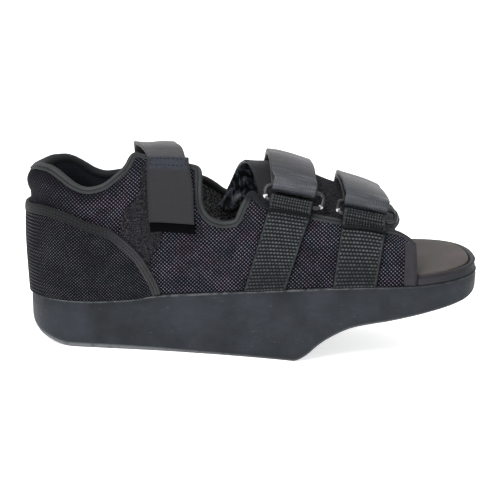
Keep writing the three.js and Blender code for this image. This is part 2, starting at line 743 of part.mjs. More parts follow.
// Instep flap: a bridge tucked inside both quarters, with a rolled front edge
function makeFlap() {
  const columns = [...FLAP_COLUMNS.map((share) => -share).reverse(), 0, ...FLAP_COLUMNS];
  const grids = [1, -1].map((face) => FLAP_ROWS.map((share) => columns.map((column) => {
    const side = column < 0 ? NEAR : FAR;
    const spread = Math.abs(column);
    const sweep = side === FAR ? FLAP_FAR_SWEEP : FLAP_NEAR_SWEEP;
    const back = FLAP_BACK - sweep * spread ** FLAP_SWEEP_POWER;
    const front = FLAP_FRONT - FLAP_FRONT_SWEEP * spread ** 2;
    const x = lerp(back, front, share) * SOLE_LENGTH;
    const edge = side === NEAR ? nearEdge(x) : farEdge(x);
    const full = girthAtHeight(x, side, Math.max(edge - FLAP_TUCK, FLAP_LEAST_RISE * edge));
    const rollShare = clamp01((share - FLAP_ROLL_START) / (1 - FLAP_ROLL_START));
    const fade = clamp01((FLAP_ROLL_END - spread) / (FLAP_ROLL_END - FLAP_ROLL_FULL));
    const roll = FLAP_ROLL * Math.sin(Math.PI * rollShare) * fade;
    const middle = -WALL - 2 * CLEARANCE - FLAP_THICKNESS / 2;
    return instepPoint(x, spread * full, middle + face * (FLAP_THICKNESS / 2 + roll));
  })));
  return slab(grids[0], grids[1]);
}

// Place and directions of a ring: along its bars, across towards the crest, and out
function ringFrame(fastening) {
  const x = fastening.ringX * SOLE_LENGTH;
  const girth = girthAtHeight(x, NEAR, fastening.ringRise * CREST_RISE);
  const wrap = RING_WIRE / 2 + RING_PLAY + STRAP_THICKNESS / 2;
  const lift = STRAP_SEAT + STRAP_THICKNESS / 2 + wrap;
  const centre = instepPoint(x, girth, lift);
  const ahead = instepPoint(x + RING_ALONG_SAMPLE, girth, lift);
  const along = ahead.sub(instepPoint(x - RING_ALONG_SAMPLE, girth, lift)).normalize();
  const above = instepPoint(x, girth + RING_ACROSS_SAMPLE, lift);
  const across = above.sub(instepPoint(x, girth - RING_ACROSS_SAMPLE, lift));
  across.addScaledVector(along, -across.dot(along)).normalize();
  const out = along.clone().cross(across).normalize();
  return { x, girth, wrap, lift, centre, along, across, out };
}

function ringPoint(ring, along, across, out) {
  return ring.centre.clone()
    .addScaledVector(ring.along, along)
    .addScaledVector(ring.across, across)
    .addScaledVector(ring.out, out);
}

function makeRing(fastening) {
  const ring = ringFrame(fastening);
  const half = RING_BAR_GAP / 2;
  const straight = RING_LENGTH / 2 - half;
  const path = [];
  [1, -1].forEach((end) => {
    for (let i = 0; i <= RING_TURN_STEPS; i += 1) {
      const turn = -Math.PI / 2 + (Math.PI * i) / RING_TURN_STEPS;
      path.push({ along: end * (straight + half * Math.cos(turn)), across: end * half * Math.sin(turn) });
    }
  });
  const points = [];
  path.forEach((at, i) => {
    const after = path[(i + 1) % path.length];
    const before = path[(i + path.length - 1) % path.length];
    const way = new THREE.Vector2(after.along - before.along, after.across - before.across).normalize();
    for (let k = 0; k < RING_SIDES; k += 1) {
      const angle = (2 * Math.PI * (k + 0.5)) / RING_SIDES;
      const outward = (RING_WIRE / 2) * Math.cos(angle);
      const up = (RING_WIRE / 2) * Math.sin(angle);
      points.push(ringPoint(ring, at.along + way.y * outward, at.across - way.x * outward, up));
    }
  });
  const faces = [];
  path.forEach((_, i) => {
    const own = i * RING_SIDES;
    const next = ((i + 1) % path.length) * RING_SIDES;
    for (let k = 0; k < RING_SIDES; k += 1) {
      const beside = (k + 1) % RING_SIDES;
      faces.push([own + k, next + k, next + beside, own + beside]);
    }
  });
  return body(points, faces);
}

// Columns of a band, as shares of its width
const BAND_COLUMNS = [-0.5, -0.17, 0.17, 0.5];

// Middle points across a band from a list of rows, each a function of the place across
function band(rows, width, thickness) {
  const across = BAND_COLUMNS.map((share) => share * width);
  return layer(rows.map((row) => across.map(row)), thickness);
}

// Rows that turn round a ring's bar, from under it to over it
function wrapRows(ring, bar) {
  const rows = [];
  for (let i = 0; i <= WRAP_STEPS; i += 1) {
    const turn = -Math.PI / 2 + (Math.PI * i) / WRAP_STEPS;
    const across = bar * (RING_BAR_GAP / 2 - ring.wrap * Math.cos(turn));
    const out = ring.wrap * Math.sin(turn);
    rows.push((w) => ringPoint(ring, w, across, out));
  }
  return [...rows, (w) => ringPoint(ring, w, bar * (RING_BAR_GAP / 2 + BAR_LEAD), ring.wrap)];
}

// Where a strap comes down onto its own first layer past the bar, and its lift off that layer
const STRAP_LANDING = [
  { past: 8, lift: 1.6 },
  { past: 13, lift: 0.4 },
];

function makeStrap(fastening) {
  const ring = ringFrame(fastening);
  const under = STRAP_SEAT + STRAP_THICKNESS / 2;
  const over = under + STRAP_THICKNESS + CLEARANCE;
  const crestX = fastening.crestX * SOLE_LENGTH;
  const soleX = fastening.soleX * SOLE_LENGTH;
  const barGirth = ring.girth + RING_BAR_GAP / 2;
  const centreAt = (girth) => {
    if (girth < 0) return lerp(crestX, ring.x, clamp01(girth / barGirth));
    return lerp(crestX, soleX, clamp01(girth / fullGirth(soleX, FAR)));
  };
  const onSkin = (girth, offset) => (w) => instepPoint(centreAt(girth) + w, girth, offset);
  const farEnd = fullGirth(soleX, FAR) - STRAP_FAR_FOOT;
  const farShares = evenShares(STRAP_FAR_STEPS).reverse();
  const nearShares = evenShares(STRAP_NEAR_STEPS).slice(1, -1);
  const returnShares = evenShares(STRAP_RETURN_STEPS);
  const rows = [
    ...farShares.map((share) => onSkin(farEnd * share, under)),
    ...nearShares.map((share) => onSkin(barGirth * share, under)),
    ...wrapRows(ring, 1),
    ...STRAP_LANDING.map((row) => onSkin(barGirth + row.past, over + row.lift)),
    ...returnShares.map((share) => onSkin(lerp(barGirth + STRAP_DOUBLED, STRAP_FREE_END, share), over)),
  ];
  return band(rows, STRAP_WIDTH, STRAP_THICKNESS);
}

// The webbing's end, sewn down over its first layer: shares of SEWN_DOWN and its lift off that layer
const WEBBING_RETURN = [
  { part: 0.4, lift: 0.8 },
  { part: 0.6, lift: 0 },
  { part: 0.8, lift: 0 },
  { part: 1, lift: 0 },
];

function makeWebbing(fastening) {
  const ring = ringFrame(fastening);
  const under = STRAP_SEAT + WEBBING_THICKNESS / 2;
  const over = under + WEBBING_THICKNESS + CLEARANCE;
  const barGirth = ring.girth - RING_BAR_GAP / 2;
  const soleX = fastening.soleX * SOLE_LENGTH;
  const onSkin = (share, offset) => (w) => {
    const centre = lerp(soleX, ring.x, share);
    const foot = -fullGirth(centre + w, NEAR) + 2 * CLEARANCE;
    return instepPoint(centre + w, lerp(foot, barGirth, share), offset);
  };
  const length = fullGirth(soleX, NEAR) + barGirth;
  const rows = [
    ...evenShares(WEBBING_STEPS).slice(0, -1).map((share) => onSkin(share, under)),
    ...wrapRows(ring, -1),
    ...WEBBING_RETURN.map((row) => onSkin(1 - (row.part * SEWN_DOWN) / length, over + row.lift)),
  ];
  return band(rows, WEBBING_WIDTH, WEBBING_THICKNESS);
}

// Ankle strap: from the far quarter over the ankle opening and down the near tab
function ankleCentre(girth, nearGirth, tabGirth, farGirth) {
  if (girth > 0) return lerp(ANKLE_CREST_X, ANKLE_FAR_X, clamp01(girth / farGirth)) * SOLE_LENGTH;
  if (girth > tabGirth) return lerp(ANKLE_CREST_X, ANKLE_TAB_X, girth / tabGirth) * SOLE_LENGTH;
  const share = clamp01((girth - tabGirth) / (nearGirth - tabGirth));
  return lerp(ANKLE_TAB_X, ANKLE_NEAR_X, share) * SOLE_LENGTH;
}

// Rows of the ankle strap or its hook patch, from one girth to another
function ankleRows(from, to, steps, offsetAt) {
  const nearGirth = girthAtHeight(ANKLE_NEAR_X * SOLE_LENGTH, NEAR, ANKLE_NEAR_RISE);
  const tabGirth = girthAtHeight(ANKLE_TAB_X * SOLE_LENGTH, NEAR, ANKLE_TAB_RISE);
  const farGirth = girthAtHeight(ANKLE_FAR_X * SOLE_LENGTH, FAR, ANKLE_FAR_RISE);
  return evenShares(steps).map((share) => {
    const girth = lerp(from(nearGirth), to(nearGirth, farGirth), share);
    const centre = ankleCentre(girth, nearGirth, tabGirth, farGirth);
    return (w) => instepPoint(centre + w, girth, offsetAt(girth));
  });
}

function makeAnkleStrap() {
  const bare = STRAP_SEAT + STRAP_THICKNESS / 2;
  const lift = CLEARANCE + PATCH_THICKNESS + HOOK_THICKNESS;
  const offset = (girth) => bare + lift * clamp01((-girth - ANKLE_FREE) / ANKLE_FREE);
  const rows = ankleRows((near) => near, (near, far) => far, ANKLE_STEPS, offset);
  return band(rows, STRAP_WIDTH, STRAP_THICKNESS);
}

function makeAnkleHook() {
  const offset = 2 * CLEARANCE + BINDING_STEP + PATCH_THICKNESS + HOOK_THICKNESS / 2;
  const from = (near) => near - HOOK_OVERHANG;
  const to = (near) => near - HOOK_OVERHANG + HOOK_LENGTH;
  const rows = ankleRows(from, to, HOOK_STEPS, () => offset).map((row) => (w) => row(w + HOOK_SHIFT));
  return band(rows, STRAP_WIDTH + HOOK_EXTRA_WIDTH, HOOK_THICKNESS);
}

const shoe = new THREE.Group();

function add(name, geometry, colour, roughness, metalness = 0) {
  const material = new THREE.MeshStandardMaterial({ color: colour, roughness, metalness });
  const mesh = new THREE.Mesh(geometry, material);
  mesh.name = name;
  shoe.add(mesh);
}

add('outsole', makeOutsole(), '#3c4044', 0.85);
add('midsole', makeMidsole(), '#4a4a4e', 0.8);
add('insole', makeInsole(), '#66625d', 0.8);
add('upper', makeUpper(), '#26242c', 0.9);
add('heel_counter', makeCounter(), '#2a2c2e', 0.9);
add('pile_patch', makePatch(), '#262628', 1);
add('instep_flap', makeFlap(), '#2c2a2c', 1);
FASTENINGS.forEach((fastening) => {
  add(`webbing_${fastening.name}`, makeWebbing(fastening), '#2b3331', 0.8);
  add(`ring_${fastening.name}`, makeRing(fastening), '#303438', 0.3, 0.6);
  add(`strap_${fastening.name}`, makeStrap(fastening), '#55555c', 0.6);
});
add('ankle_strap', makeAnkleStrap(), '#505056', 0.6);
add('ankle_hook', makeAnkleHook(), '#101012', 0.9);

// The origin is the centre of the bottom of the shoe's box
const extent = new THREE.Box3().setFromObject(shoe, true);
const middle = extent.getCenter(new THREE.Vector3());
shoe.position.set(-middle.x, -middle.y, -extent.min.z);

const part = new THREE.Group();
part.add(shoe);

export default part;
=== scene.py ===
"""Looks of a post operative shoe: a left one with an open toe and a forefoot relief wedge.

Lengths are millimetres in the shoe's own axes: X from heel to toe, Y to the outer (far) side and
Z up. They become the frame's metres only where a mesh is made. The near side is the inner side,
with the rings and webbing. The surface of the last is the same one that the solids were made from.

A way is a length round the outline from the back of the heel, and a girth is a length from the
crest down a cross section. Both are negative on the near side. A height is over the sole's top line.
"""

import math

import bmesh
import bpy
import numpy as np
from mathutils import Matrix, Vector


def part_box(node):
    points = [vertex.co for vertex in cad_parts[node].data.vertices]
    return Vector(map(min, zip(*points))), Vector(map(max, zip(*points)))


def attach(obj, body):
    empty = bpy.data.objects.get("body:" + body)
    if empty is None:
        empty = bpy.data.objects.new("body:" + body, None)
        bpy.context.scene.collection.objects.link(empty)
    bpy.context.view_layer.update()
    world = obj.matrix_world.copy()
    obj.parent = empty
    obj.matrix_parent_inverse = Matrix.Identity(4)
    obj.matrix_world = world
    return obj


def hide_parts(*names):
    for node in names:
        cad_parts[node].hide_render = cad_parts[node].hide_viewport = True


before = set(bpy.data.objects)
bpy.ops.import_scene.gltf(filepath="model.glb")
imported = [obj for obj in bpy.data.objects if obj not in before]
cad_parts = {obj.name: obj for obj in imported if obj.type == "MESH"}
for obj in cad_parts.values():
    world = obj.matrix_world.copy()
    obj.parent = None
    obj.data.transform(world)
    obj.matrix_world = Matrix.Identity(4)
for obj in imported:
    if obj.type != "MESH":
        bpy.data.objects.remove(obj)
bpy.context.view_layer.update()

NEAR, FAR = -1, 1
SIDES = {NEAR: "near", FAR: "far"}
MM = 0.001
TINY = 1e-9
random = np.random.default_rng(7)

# Sole and footbed
SOLE_LENGTH = 280
HEEL_WIDTH = 72
BALL_WIDTH = 110
HEEL_ROUND = 38
TOE_ROUND = 56
TOE_SHIFT = 11
HEEL_STACK = 29.5
TOE_STACK = 58.5
HEEL_BEVEL = 14
FOREFOOT_LIFT = 49.5
SOLE_DRAFT = 0.5
TOE_DRAFT = 0.1
SOLE_CORNER = 1.6
SOLE_EDGE = 1.1
SOLE_TIP = 0.1
SHOWN_TIP = 0.02
HEEL_POWER = 2.1
NEAR_TOE_POWER = 2.7
FAR_TOE_POWER = 2.3
MIDSOLE_THICKNESS = 5.4
MIDSOLE_LIP = 3.2
LIP_EDGE = 1.6
SEAM_RISE = 1.7
SEAM_DEPTH = 0.5
RECESS_DEPTH = 2.6
INSOLE_THICKNESS = 2.8
INSOLE_GROOVE = 1.0
TOE_INSET = 0.9
CLEARANCE = 0.3

# Upper
COLLAR_RISE = 83
CREST_RISE = 91
WALL = 3
SIDE_SWELL = 2.4
UPPER_INSET = 1
OPEN_ENDS = {NEAR: 240.5, FAR: 231}
BULGE_RISE = 85
BINDING_WIDTH = 4.5
BINDING_GROOVES = 2.6
COUNTER_BINDING_WIDTH = 5.6
COUNTER_GROOVES = 1.87
TOE_BAND_WIDTH = 7.6
# Where the near binding lies in the flap's shade, as shares of the length
HIDDEN_EDGE = (0.6, 0.488)
COLLAR_PAD = 2.2
COLLAR_PAD_DEPTH = 20
COLLAR_PAD_END = 0.19
COLLAR_PAD_FADE = 0.04
SHELL_STEP = 1.15
SHELL_ROWS = 58
SHELL_TUCK = 1.3
# Inner face of the far tab: its start and end as shares of the length, and its brown front edge
FAR_TAB = (0.33, 0.475)
FAR_TAB_EDGE = 0.022
FLAP_THICKNESS = 2.6
FLAP_TUCK = 13
FLAP_ROLL = 2.7
FLAP_ROLL_START = 0.93
FLAP_ROLL_FULL = 0.22
FLAP_ROLL_END = 0.78
FLAP_BACK = 0.488
FLAP_FRONT = 0.828
FLAP_SWEEPS = {NEAR: -0.045, FAR: 0.075}
FLAP_FRONT_SWEEP = 0.02
FLAP_SWEEP_POWER = 1.2
FLAP_LEAST_RISE = 0.35
FLAP_BAND = 12
FLAP_END_BAND = 0.91
# Bulge of the flap's front edge: its place and width across the flap, and its reach
FLAP_PEAK = -0.22
FLAP_PEAK_WIDTH = 0.2
FLAP_PEAK_REACH = 0.009
CRINKLE = 1.5
COUNTER_SEAT = 0.6
COUNTER_THICKNESS = 1.8
PATCH_BACK = 0.236
PATCH_FRONT = 0.309
# How far the panel's back and front edges stand off those two, at their foot and at their top
PATCH_BACK_SLANT = (-0.014, 0.026)
PATCH_FRONT_SLANT = (-0.024, 0.002)
PATCH_MARGIN = 1.2
PATCH_SEAT = 0.8
PATCH_THICKNESS = 1
MESH_PITCH = 2.3
COUNTER_PITCH = 2.0

# Straps, webbing and rings
STRAP_WIDTH = 25.4
STRAP_SHOWN_WIDTH = 26.8
STRAP_THICKNESS = 1.5
STRAP_SEAT = 1
STRAP_FAR_FOOT = 10
STRAP_FREE_END = 36
STRAP_DOUBLED = 32
WEBBING_WIDTH = 26
WEBBING_THICKNESS = 1.5
WEBBING_FOLD = 0.5
RIB_PITCH = 2.15
RIB_DEPTH = 0.5
YARN_PITCH = 2.0
RING_WIRE = 2.8
RING_BAR_GAP = 9.4
RING_LENGTH = 35
RING_PLAY = 0.5
RING_SQUARENESS = 0.75
RING_SLIDE = 0.9
BAR_LEAD = 3.5
END_STITCH_ROWS = (2.2, 14)

# Ankle strap, its tab and its hook tape
ANKLE_NEAR_X = 0.327
ANKLE_TAB_X = 0.315
ANKLE_CREST_X = 0.278
ANKLE_FAR_X = 0.265
ANKLE_NEAR_RISE = 46
ANKLE_TAB_RISE = 82
ANKLE_FAR_RISE = 48
ANKLE_FREE = 16
ANKLE_HALF = 13
ANKLE_SAG = 0.9
ANKLE_SAG_WIDTH = 30
ANKLE_WAIST = -26
ANKLE_WAIST_WIDTH = 11
ANKLE_WAIST_DEPTH = 0.1
ANKLE_BEND = 25
ANKLE_SHIFT = 1.0
ANKLE_CREST_SHIFT = -0.2
ANKLE_FAR_SHIFT = 3.5
TAB_LENGTH = 38.5
TAB_THICKNESS = 1.2
TAB_SHIFT = 1.2
TAB_WIDTH = STRAP_WIDTH + 2.2
TAB_STITCH_ROWS = (1.6, 7.2)
HOOK_THICKNESS = 1
HOOK_SHIFT = 1.5
HOOK_WIDTH = STRAP_WIDTH + 2
HOOK_OVERHANG = 6
HOOK_LENGTH = 10

# Numerical steps: cross sections, angles in each, and the reach of a slope
SECTION_GAP = 1.0
SECTION_STEPS = 80
SLOPE_STEP = 0.4
ANGLE_STEP = 0.02


def table(columns, *rows):
    """A short table as a dictionary with one array for each named column."""
    return dict(zip(columns.split(), np.array(rows, float).T))


# Half widths of the sole as shares of the heel and ball widths
PLAN = table(
    "x near_heel near_ball far_heel far_ball",
    (0.136, 0.5, 0, 0.5, 0),
    (0.284, 0.505, 0, 0.52, 0),
    (0.43, 0.3, 0.155, 0.32, 0.165),
    (0.567, 0.1, 0.325, 0.1, 0.36),
    (0.68, 0, 0.442, 0, 0.478),
    (0.8, 0, 0.503, 0, 0.5),
)

# Rise of the sole's top line from the heel stack to the toe stack
RIM = table(
    "x rise",
    (0, 0), (0.142, 0.007), (0.21, 0.052), (0.255, 0.104), (0.29, 0.184), (0.39, 0.295),
    (0.53, 0.448), (0.69, 0.649), (0.773, 0.747), (0.87, 0.826), (1, 1),
)

# Underside of the sole: heel bevel and forefoot relief
UNDERSIDE = table(
    "x bevel lift",
    (0, 1, 0), (0.013, 0.68, 0), (0.036, 0.36, 0), (0.062, 0.18, 0), (0.082, 0.07, 0),
    (0.108, 0, 0), (0.606, 0, 0), (0.627, 0, 0.06), (0.661, 0, 0.25), (0.695, 0, 0.395),
    (0.729, 0, 0.5), (0.78, 0, 0.59), (0.83, 0, 0.662), (0.898, 0, 0.763), (0.948, 0, 0.836),
    (0.98, 0, 0.89), (1, 0, 0.955),
)

# Sections of the last: crest as a share of CREST_RISE, squareness, swell as a share of SIDE_SWELL
SECTIONS = table(
    "x crest square swell",
    (0, 1.264, 4, 1),
    (0.14, 1.08, 3.8, 0.92),
    (0.236, 1, 3.2, 0.92),
    (0.32, 0.965, 3.1, 0.75),
    (0.39, 0.93, 3, 0.67),
    (0.498, 0.852, 2.7, 0.5),
    (0.53, 0.842, 2.5, 0.5),
    (0.62, 0.745, 2.35, 0.5),
    (0.668, 0.672, 2.3, 0.5),
    (0.775, 0.527, 2.3, 0.42),
    (0.83, 0.39, 2.25, 0.25),
    (0.861, 0.33, 2.2, 0.21),
    (1, 0.242, 2.2, 0.21),
)

# Top edges of the quarters and of the heel counter, as shares of COLLAR_RISE over the top line
NEAR_EDGE = table(
    "x rise",
    (0, 0.97), (0.024, 1), (0.045, 1), (0.065, 0.983), (0.095, 0.933), (0.125, 0.878),
    (0.148, 0.857), (0.179, 0.877), (0.2, 0.927), (0.2165, 0.973), (0.2245, 1.01),
    (0.229, 1.052), (0.236, 1.07), (0.265, 1.043), (0.32, 0.989), (0.366, 0.95),
    (0.385, 0.93), (0.3915, 0.905), (0.394, 0.86), (0.3945, 0.79), (0.396, 0.72),
    (0.4, 0.655), (0.408, 0.602), (0.424, 0.557), (0.446, 0.534), (0.467, 0.54),
    (0.474, 0.6), (0.484, 0.672), (0.493, 0.722), (0.502, 0.735), (0.512, 0.72),
    (0.523, 0.67), (0.545, 0.63), (0.605, 0.585), (0.644, 0.535), (0.702, 0.482),
    (0.775, 0.418), (0.804, 0.388), (0.84, 0.322), (0.859, 0.27),
)
FAR_EDGE = table(
    "x rise",
    (0, 0.97), (0.024, 1), (0.045, 1), (0.065, 0.983), (0.095, 0.933), (0.125, 0.878),
    (0.148, 0.86), (0.179, 0.872), (0.22, 0.89), (0.3, 0.85), (0.36, 0.775), (0.385, 0.74),
    (0.41, 0.68), (0.43, 0.625), (0.445, 0.61), (0.47, 0.66), (0.495, 0.72), (0.53, 0.72),
    (0.605, 0.62), (0.702, 0.48), (0.79, 0.36), (0.825, 0.26),
)
COUNTER_EDGE = table(
    "x rise",
    (0, 0.685), (0.05, 0.7), (0.1, 0.671), (0.154, 0.6), (0.197, 0.55), (0.23, 0.468),
    (0.263, 0.352), (0.289, 0.204), (0.307, 0.082), (0.314, 0.012),
)

# Where each front strap crosses sole line, ring and crest, its ring's rise and the webbing sewn down
FASTENINGS = {
    "rear": {"sole": 0.539, "ring": 0.59, "crest": 0.577, "rise": 0.59, "sewn": 6},
    "front": {"sole": 0.73, "ring": 0.744, "crest": 0.731, "rise": 0.445, "sewn": 6.5},
}
STRAP_LANDING = table("past lift", (7, 3.5), (11, 2.8), (15, 2.1), (20, 1.3), (25, 0.65))
WEBBING_RETURN = table("part lift", (0.4, 0.8), (0.6, 0), (0.8, 0), (1, 0))

# Painted highlights (glints) on each ring: place along and across it, reach in mm and strength
RING_GLINTS = {
    "rear": [(-16.8, -3.2, 1.2, 0.9), (16.8, -3.4, 1.1, 0.8)],
    "front": [(-16.8, -3.4, 1.1, 0.8)],
}

# Soft troughs (below 0) and ridges of the quarters: place, height as a share of the top edge,
# reach along and up in mm, tilt in degrees and depth in mm
CREASES = table(
    "side x height along up tilt depth",
    (FAR, 0, 0.88, 26, 7, 0, 1.5),
    (NEAR, 0.03, 0.73, 22, 2.6, -14, -1.5),
    (NEAR, 0.115, 0.83, 16, 2.4, -40, -0.8),
    (NEAR, 0.17, 0.72, 15, 3, 28, -0.7),
    (NEAR, 0.2, 0.62, 14, 4, 40, 0.7),
    (NEAR, 0.155, 0.78, 10, 3, 0, 0.6),
    (NEAR, 0.43, 0.8, 16, 3, 4, 0.7),
    (NEAR, 0.4, 0.62, 20, 4, 12, -0.6),
    (NEAR, 0.47, 0.7, 14, 4, -52, -0.6),
    (NEAR, 0.655, 0.68, 15, 4.5, -6, 1.1),
    (NEAR, 0.65, 0.36, 18, 5, 4, -0.6),
    (NEAR, 0.82, 0.62, 9, 5, -30, 0.7),
    (FAR, 0.03, 0.73, 22, 2.6, -14, -1.5),
    (FAR, 0.13, 0.8, 18, 3, -30, -0.8),
    (FAR, 0.33, 0.6, 26, 4, 16, -0.7),
    (FAR, 0.62, 0.6, 20, 5, -8, 0.9),
    (FAR, 0.78, 0.5, 14, 5, 10, -0.6),
)

# Camera and lights, in metres and watts
CAMERA = {"place": (0.0305, -0.7, 0.2201), "target": (0.0014, 0, 0.0584), "roll": 1.9, "lens": 81.18}
LIGHTS = {
    "key": {"place": (-0.3, -0.4, 1.05), "target": (0, 0, 0.05), "size": (0.7, 0.5), "power": 9},
    "fill": {"place": (0.5, -0.9, 0.6), "target": (0, 0, 0.05), "size": (0.8, 0.8), "power": 1.0},
    "spark": {"place": (-0.25, -0.75, 0.5), "target": (0, 0, 0.06), "size": (0.1, 0.1), "power": 3},
    "low": {"place": (0.75, -0.7, 0.22), "target": (0.08, 0, 0.02), "size": (0.9, 0.35), "power": 1.45},
}
SKY_STRENGTH = 1.16
FLOOR_HALF = 3.0
FLOOR_GLOW = 0.56


# Curves and small helpers
def lerp(a, b, t):
    return a + (b - a) * t


def smooth(low, high, value):
    """0 below low, 1 above high and a soft step between them."""
    t = np.clip((value - low) / (high - low), 0, 1)
    return t * t * (3 - 2 * t)


def unit(vectors):
    return vectors / np.maximum(np.linalg.norm(vectors, axis=-1, keepdims=True), TINY)


def path_lengths(points):
    """Length along a path, or along each column of a grid, at every point."""
    steps = np.linalg.norm(np.diff(points, axis=0), axis=-1)
    return np.concatenate([0 * steps[:1], np.cumsum(steps, axis=0)])


def hermite(start, end, start_slope, end_slope, t):
    rise = end - start
    bend = start_slope + end_slope - 2 * rise
    return start + t * (start_slope + t * (rise - start_slope - bend + t * bend))


def curve(rows, values):
    """A smooth curve through a table's values that never overshoots them."""
    xs = rows["x"] * SOLE_LENGTH
    steps = np.diff(xs)
    slopes = np.diff(values) / steps
    before, after = slopes[:-1], slopes[1:]
    first = 2 * steps[1:] + steps[:-1]
    second = steps[1:] + 2 * steps[:-1]
    with np.errstate(divide="ignore", invalid="ignore"):
        mean = (first + second) / (first / before + second / after)
    tangents = np.concatenate([slopes[:1], np.where(before * after > 0, mean, 0), slopes[-1:]])

    def at(x):
        x = np.clip(x, xs[0], xs[-1])
        i = np.clip(np.searchsorted(xs, x, side="right") - 1, 0, len(steps) - 1)
        t = (x - xs[i]) / steps[i]
        return hermite(values[i], values[i + 1], tangents[i] * steps[i], tangents[i + 1] * steps[i], t)

    return at


near_half = curve(PLAN, PLAN["near_heel"] * HEEL_WIDTH + PLAN["near_ball"] * BALL_WIDTH)
far_half = curve(PLAN, PLAN["far_heel"] * HEEL_WIDTH + PLAN["far_ball"] * BALL_WIDTH)
rim = curve(RIM, HEEL_STACK + RIM["rise"] * (TOE_STACK - HEEL_STACK))
underside = curve(UNDERSIDE, UNDERSIDE["bevel"] * HEEL_BEVEL + UNDERSIDE["lift"] * FOREFOOT_LIFT)
crest = curve(SECTIONS, SECTIONS["crest"] * CREST_RISE)
square = curve(SECTIONS, SECTIONS["square"])
swell = curve(SECTIONS, SECTIONS["swell"] * SIDE_SWELL)
counter_edge = curve(COUNTER_EDGE, COUNTER_EDGE["rise"] * COLLAR_RISE)
EDGES = {side: curve(edge, edge["rise"] * COLLAR_RISE) for side, edge in ((NEAR, NEAR_EDGE), (FAR, FAR_EDGE))}


# The last
def x_of_way(way):
    reach = np.abs(way)
    quarter = HEEL_ROUND * math.pi / 2
    turned = HEEL_ROUND * (1 - np.cos(np.minimum(reach, quarter) / HEEL_ROUND))
    return np.where(reach < quarter, turned, HEEL_ROUND + reach - quarter)


def way_of_x(x, side):
    turned = HEEL_ROUND * np.arccos(np.clip(1 - x / HEEL_ROUND, -1, 1))
    return side * np.where(x < HEEL_ROUND, turned, x - HEEL_ROUND + HEEL_ROUND * math.pi / 2)


def half_width(x, side):
    """Signed half width of the sole."""
    near = side < 0
    toe_start = SOLE_LENGTH - TOE_ROUND
    at_heel = np.where(near, near_half(0), far_half(0))
    u = np.clip(1 - x / HEEL_ROUND, 0, 1)
    heel = side * at_heel * (1 - u**HEEL_POWER) ** (1 / HEEL_POWER)
    reach = np.where(near, near_half(toe_start), far_half(toe_start)) + side * TOE_SHIFT
    power = np.where(near, NEAR_TOE_POWER, FAR_TOE_POWER)
    v = np.clip((x - toe_start) / TOE_ROUND, 0, 1)
    toe = side * reach * (1 - v**power) ** (1 / power) - TOE_SHIFT
    middle = side * np.where(near, near_half(x), far_half(x))
    return np.where(x < HEEL_ROUND, heel, np.where(x < toe_start, middle, toe))


def plan_point(x, side, inset):
    """Point on the plan outline, moved inwards, as x and y."""
    low = np.maximum(x - SLOPE_STEP, 0.001)
    high = np.minimum(x + SLOPE_STEP, SOLE_LENGTH - 0.001)
    ahead = unit(np.stack([high - low, half_width(high, side) - half_width(low, side)], -1))
    inwards = np.stack([ahead[..., 1], -ahead[..., 0]], -1) * np.asarray(side)[..., None]
    return np.stack([x, half_width(x, side)], -1) + inwards * np.asarray(inset)[..., None]


def surface_point(x, side, height, lean):
    foot = plan_point(x, side, UPPER_INSET + 0 * x)
    to_spine = np.stack([np.maximum(x, HEEL_ROUND), 0 * x], -1) - foot
    bulge = np.minimum(height / np.minimum(BULGE_RISE, crest(x)), 1)
    puff = swell(x) * np.sin(math.pi * bulge)
    plan = foot + to_spine * lean[..., None] - unit(to_spine) * puff[..., None]
    return np.concatenate([plan, (rim(x) + height)[..., None]], -1)


def wall_surface(way, height):
    """Point of the last's surface at a way and a height."""
    way, height = np.broadcast_arrays(np.asarray(way, float), np.asarray(height, float))
    x = np.maximum(x_of_way(way), 0.001)
    share = np.clip(height / crest(x), 0, 1)
    power = square(x)
    lean = 1 - (1 - share**power) ** (1 / power)
    return surface_point(x, np.where(way < 0, NEAR, FAR), height, lean)


def wall_normal(way, height):
    ahead = wall_surface(way + SLOPE_STEP, height) - wall_surface(way - SLOPE_STEP, height)
    below = np.maximum(height - SLOPE_STEP, 0)
    return unit(np.cross(wall_surface(way, height + SLOPE_STEP) - wall_surface(way, below), ahead))


def wall_point(way, height, offset):
    """Point on the wall, moved outwards along the surface's normal."""
    return wall_surface(way, height) + wall_normal(way, height) * np.asarray(offset)[..., None]


def section_surface(x, angle):
    """Cross section at x over the crest: the angle is 0 at the crest and negative near."""
    power = square(x)
    across = np.abs(np.sin(angle))
    rise = np.maximum(np.cos(angle), 0)
    size = (across**power + rise**power) ** (1 / power)
    side = np.where(angle < 0, NEAR, FAR)
    return surface_point(x, side, crest(x) * rise / size, 1 - across / size)


SECTION_X = np.arange(40, SOLE_LENGTH - 10, SECTION_GAP)
SECTION_ANGLES = np.tile(np.linspace(0, math.pi / 2, SECTION_STEPS + 1), (len(SECTION_X), 1))


def section_tables(side):
    """Girths from the crest, and heights, at even angles for every section."""
    xs = np.repeat(SECTION_X[:, None], SECTION_STEPS + 1, 1)
    points = section_surface(xs, side * np.maximum(SECTION_ANGLES, 1e-7))
    return path_lengths(points.swapaxes(0, 1)).T, points[..., 2] - rim(xs)


GIRTHS, HEIGHTS = {}, {}
for side in SIDES:
    GIRTHS[side], HEIGHTS[side] = section_tables(side)


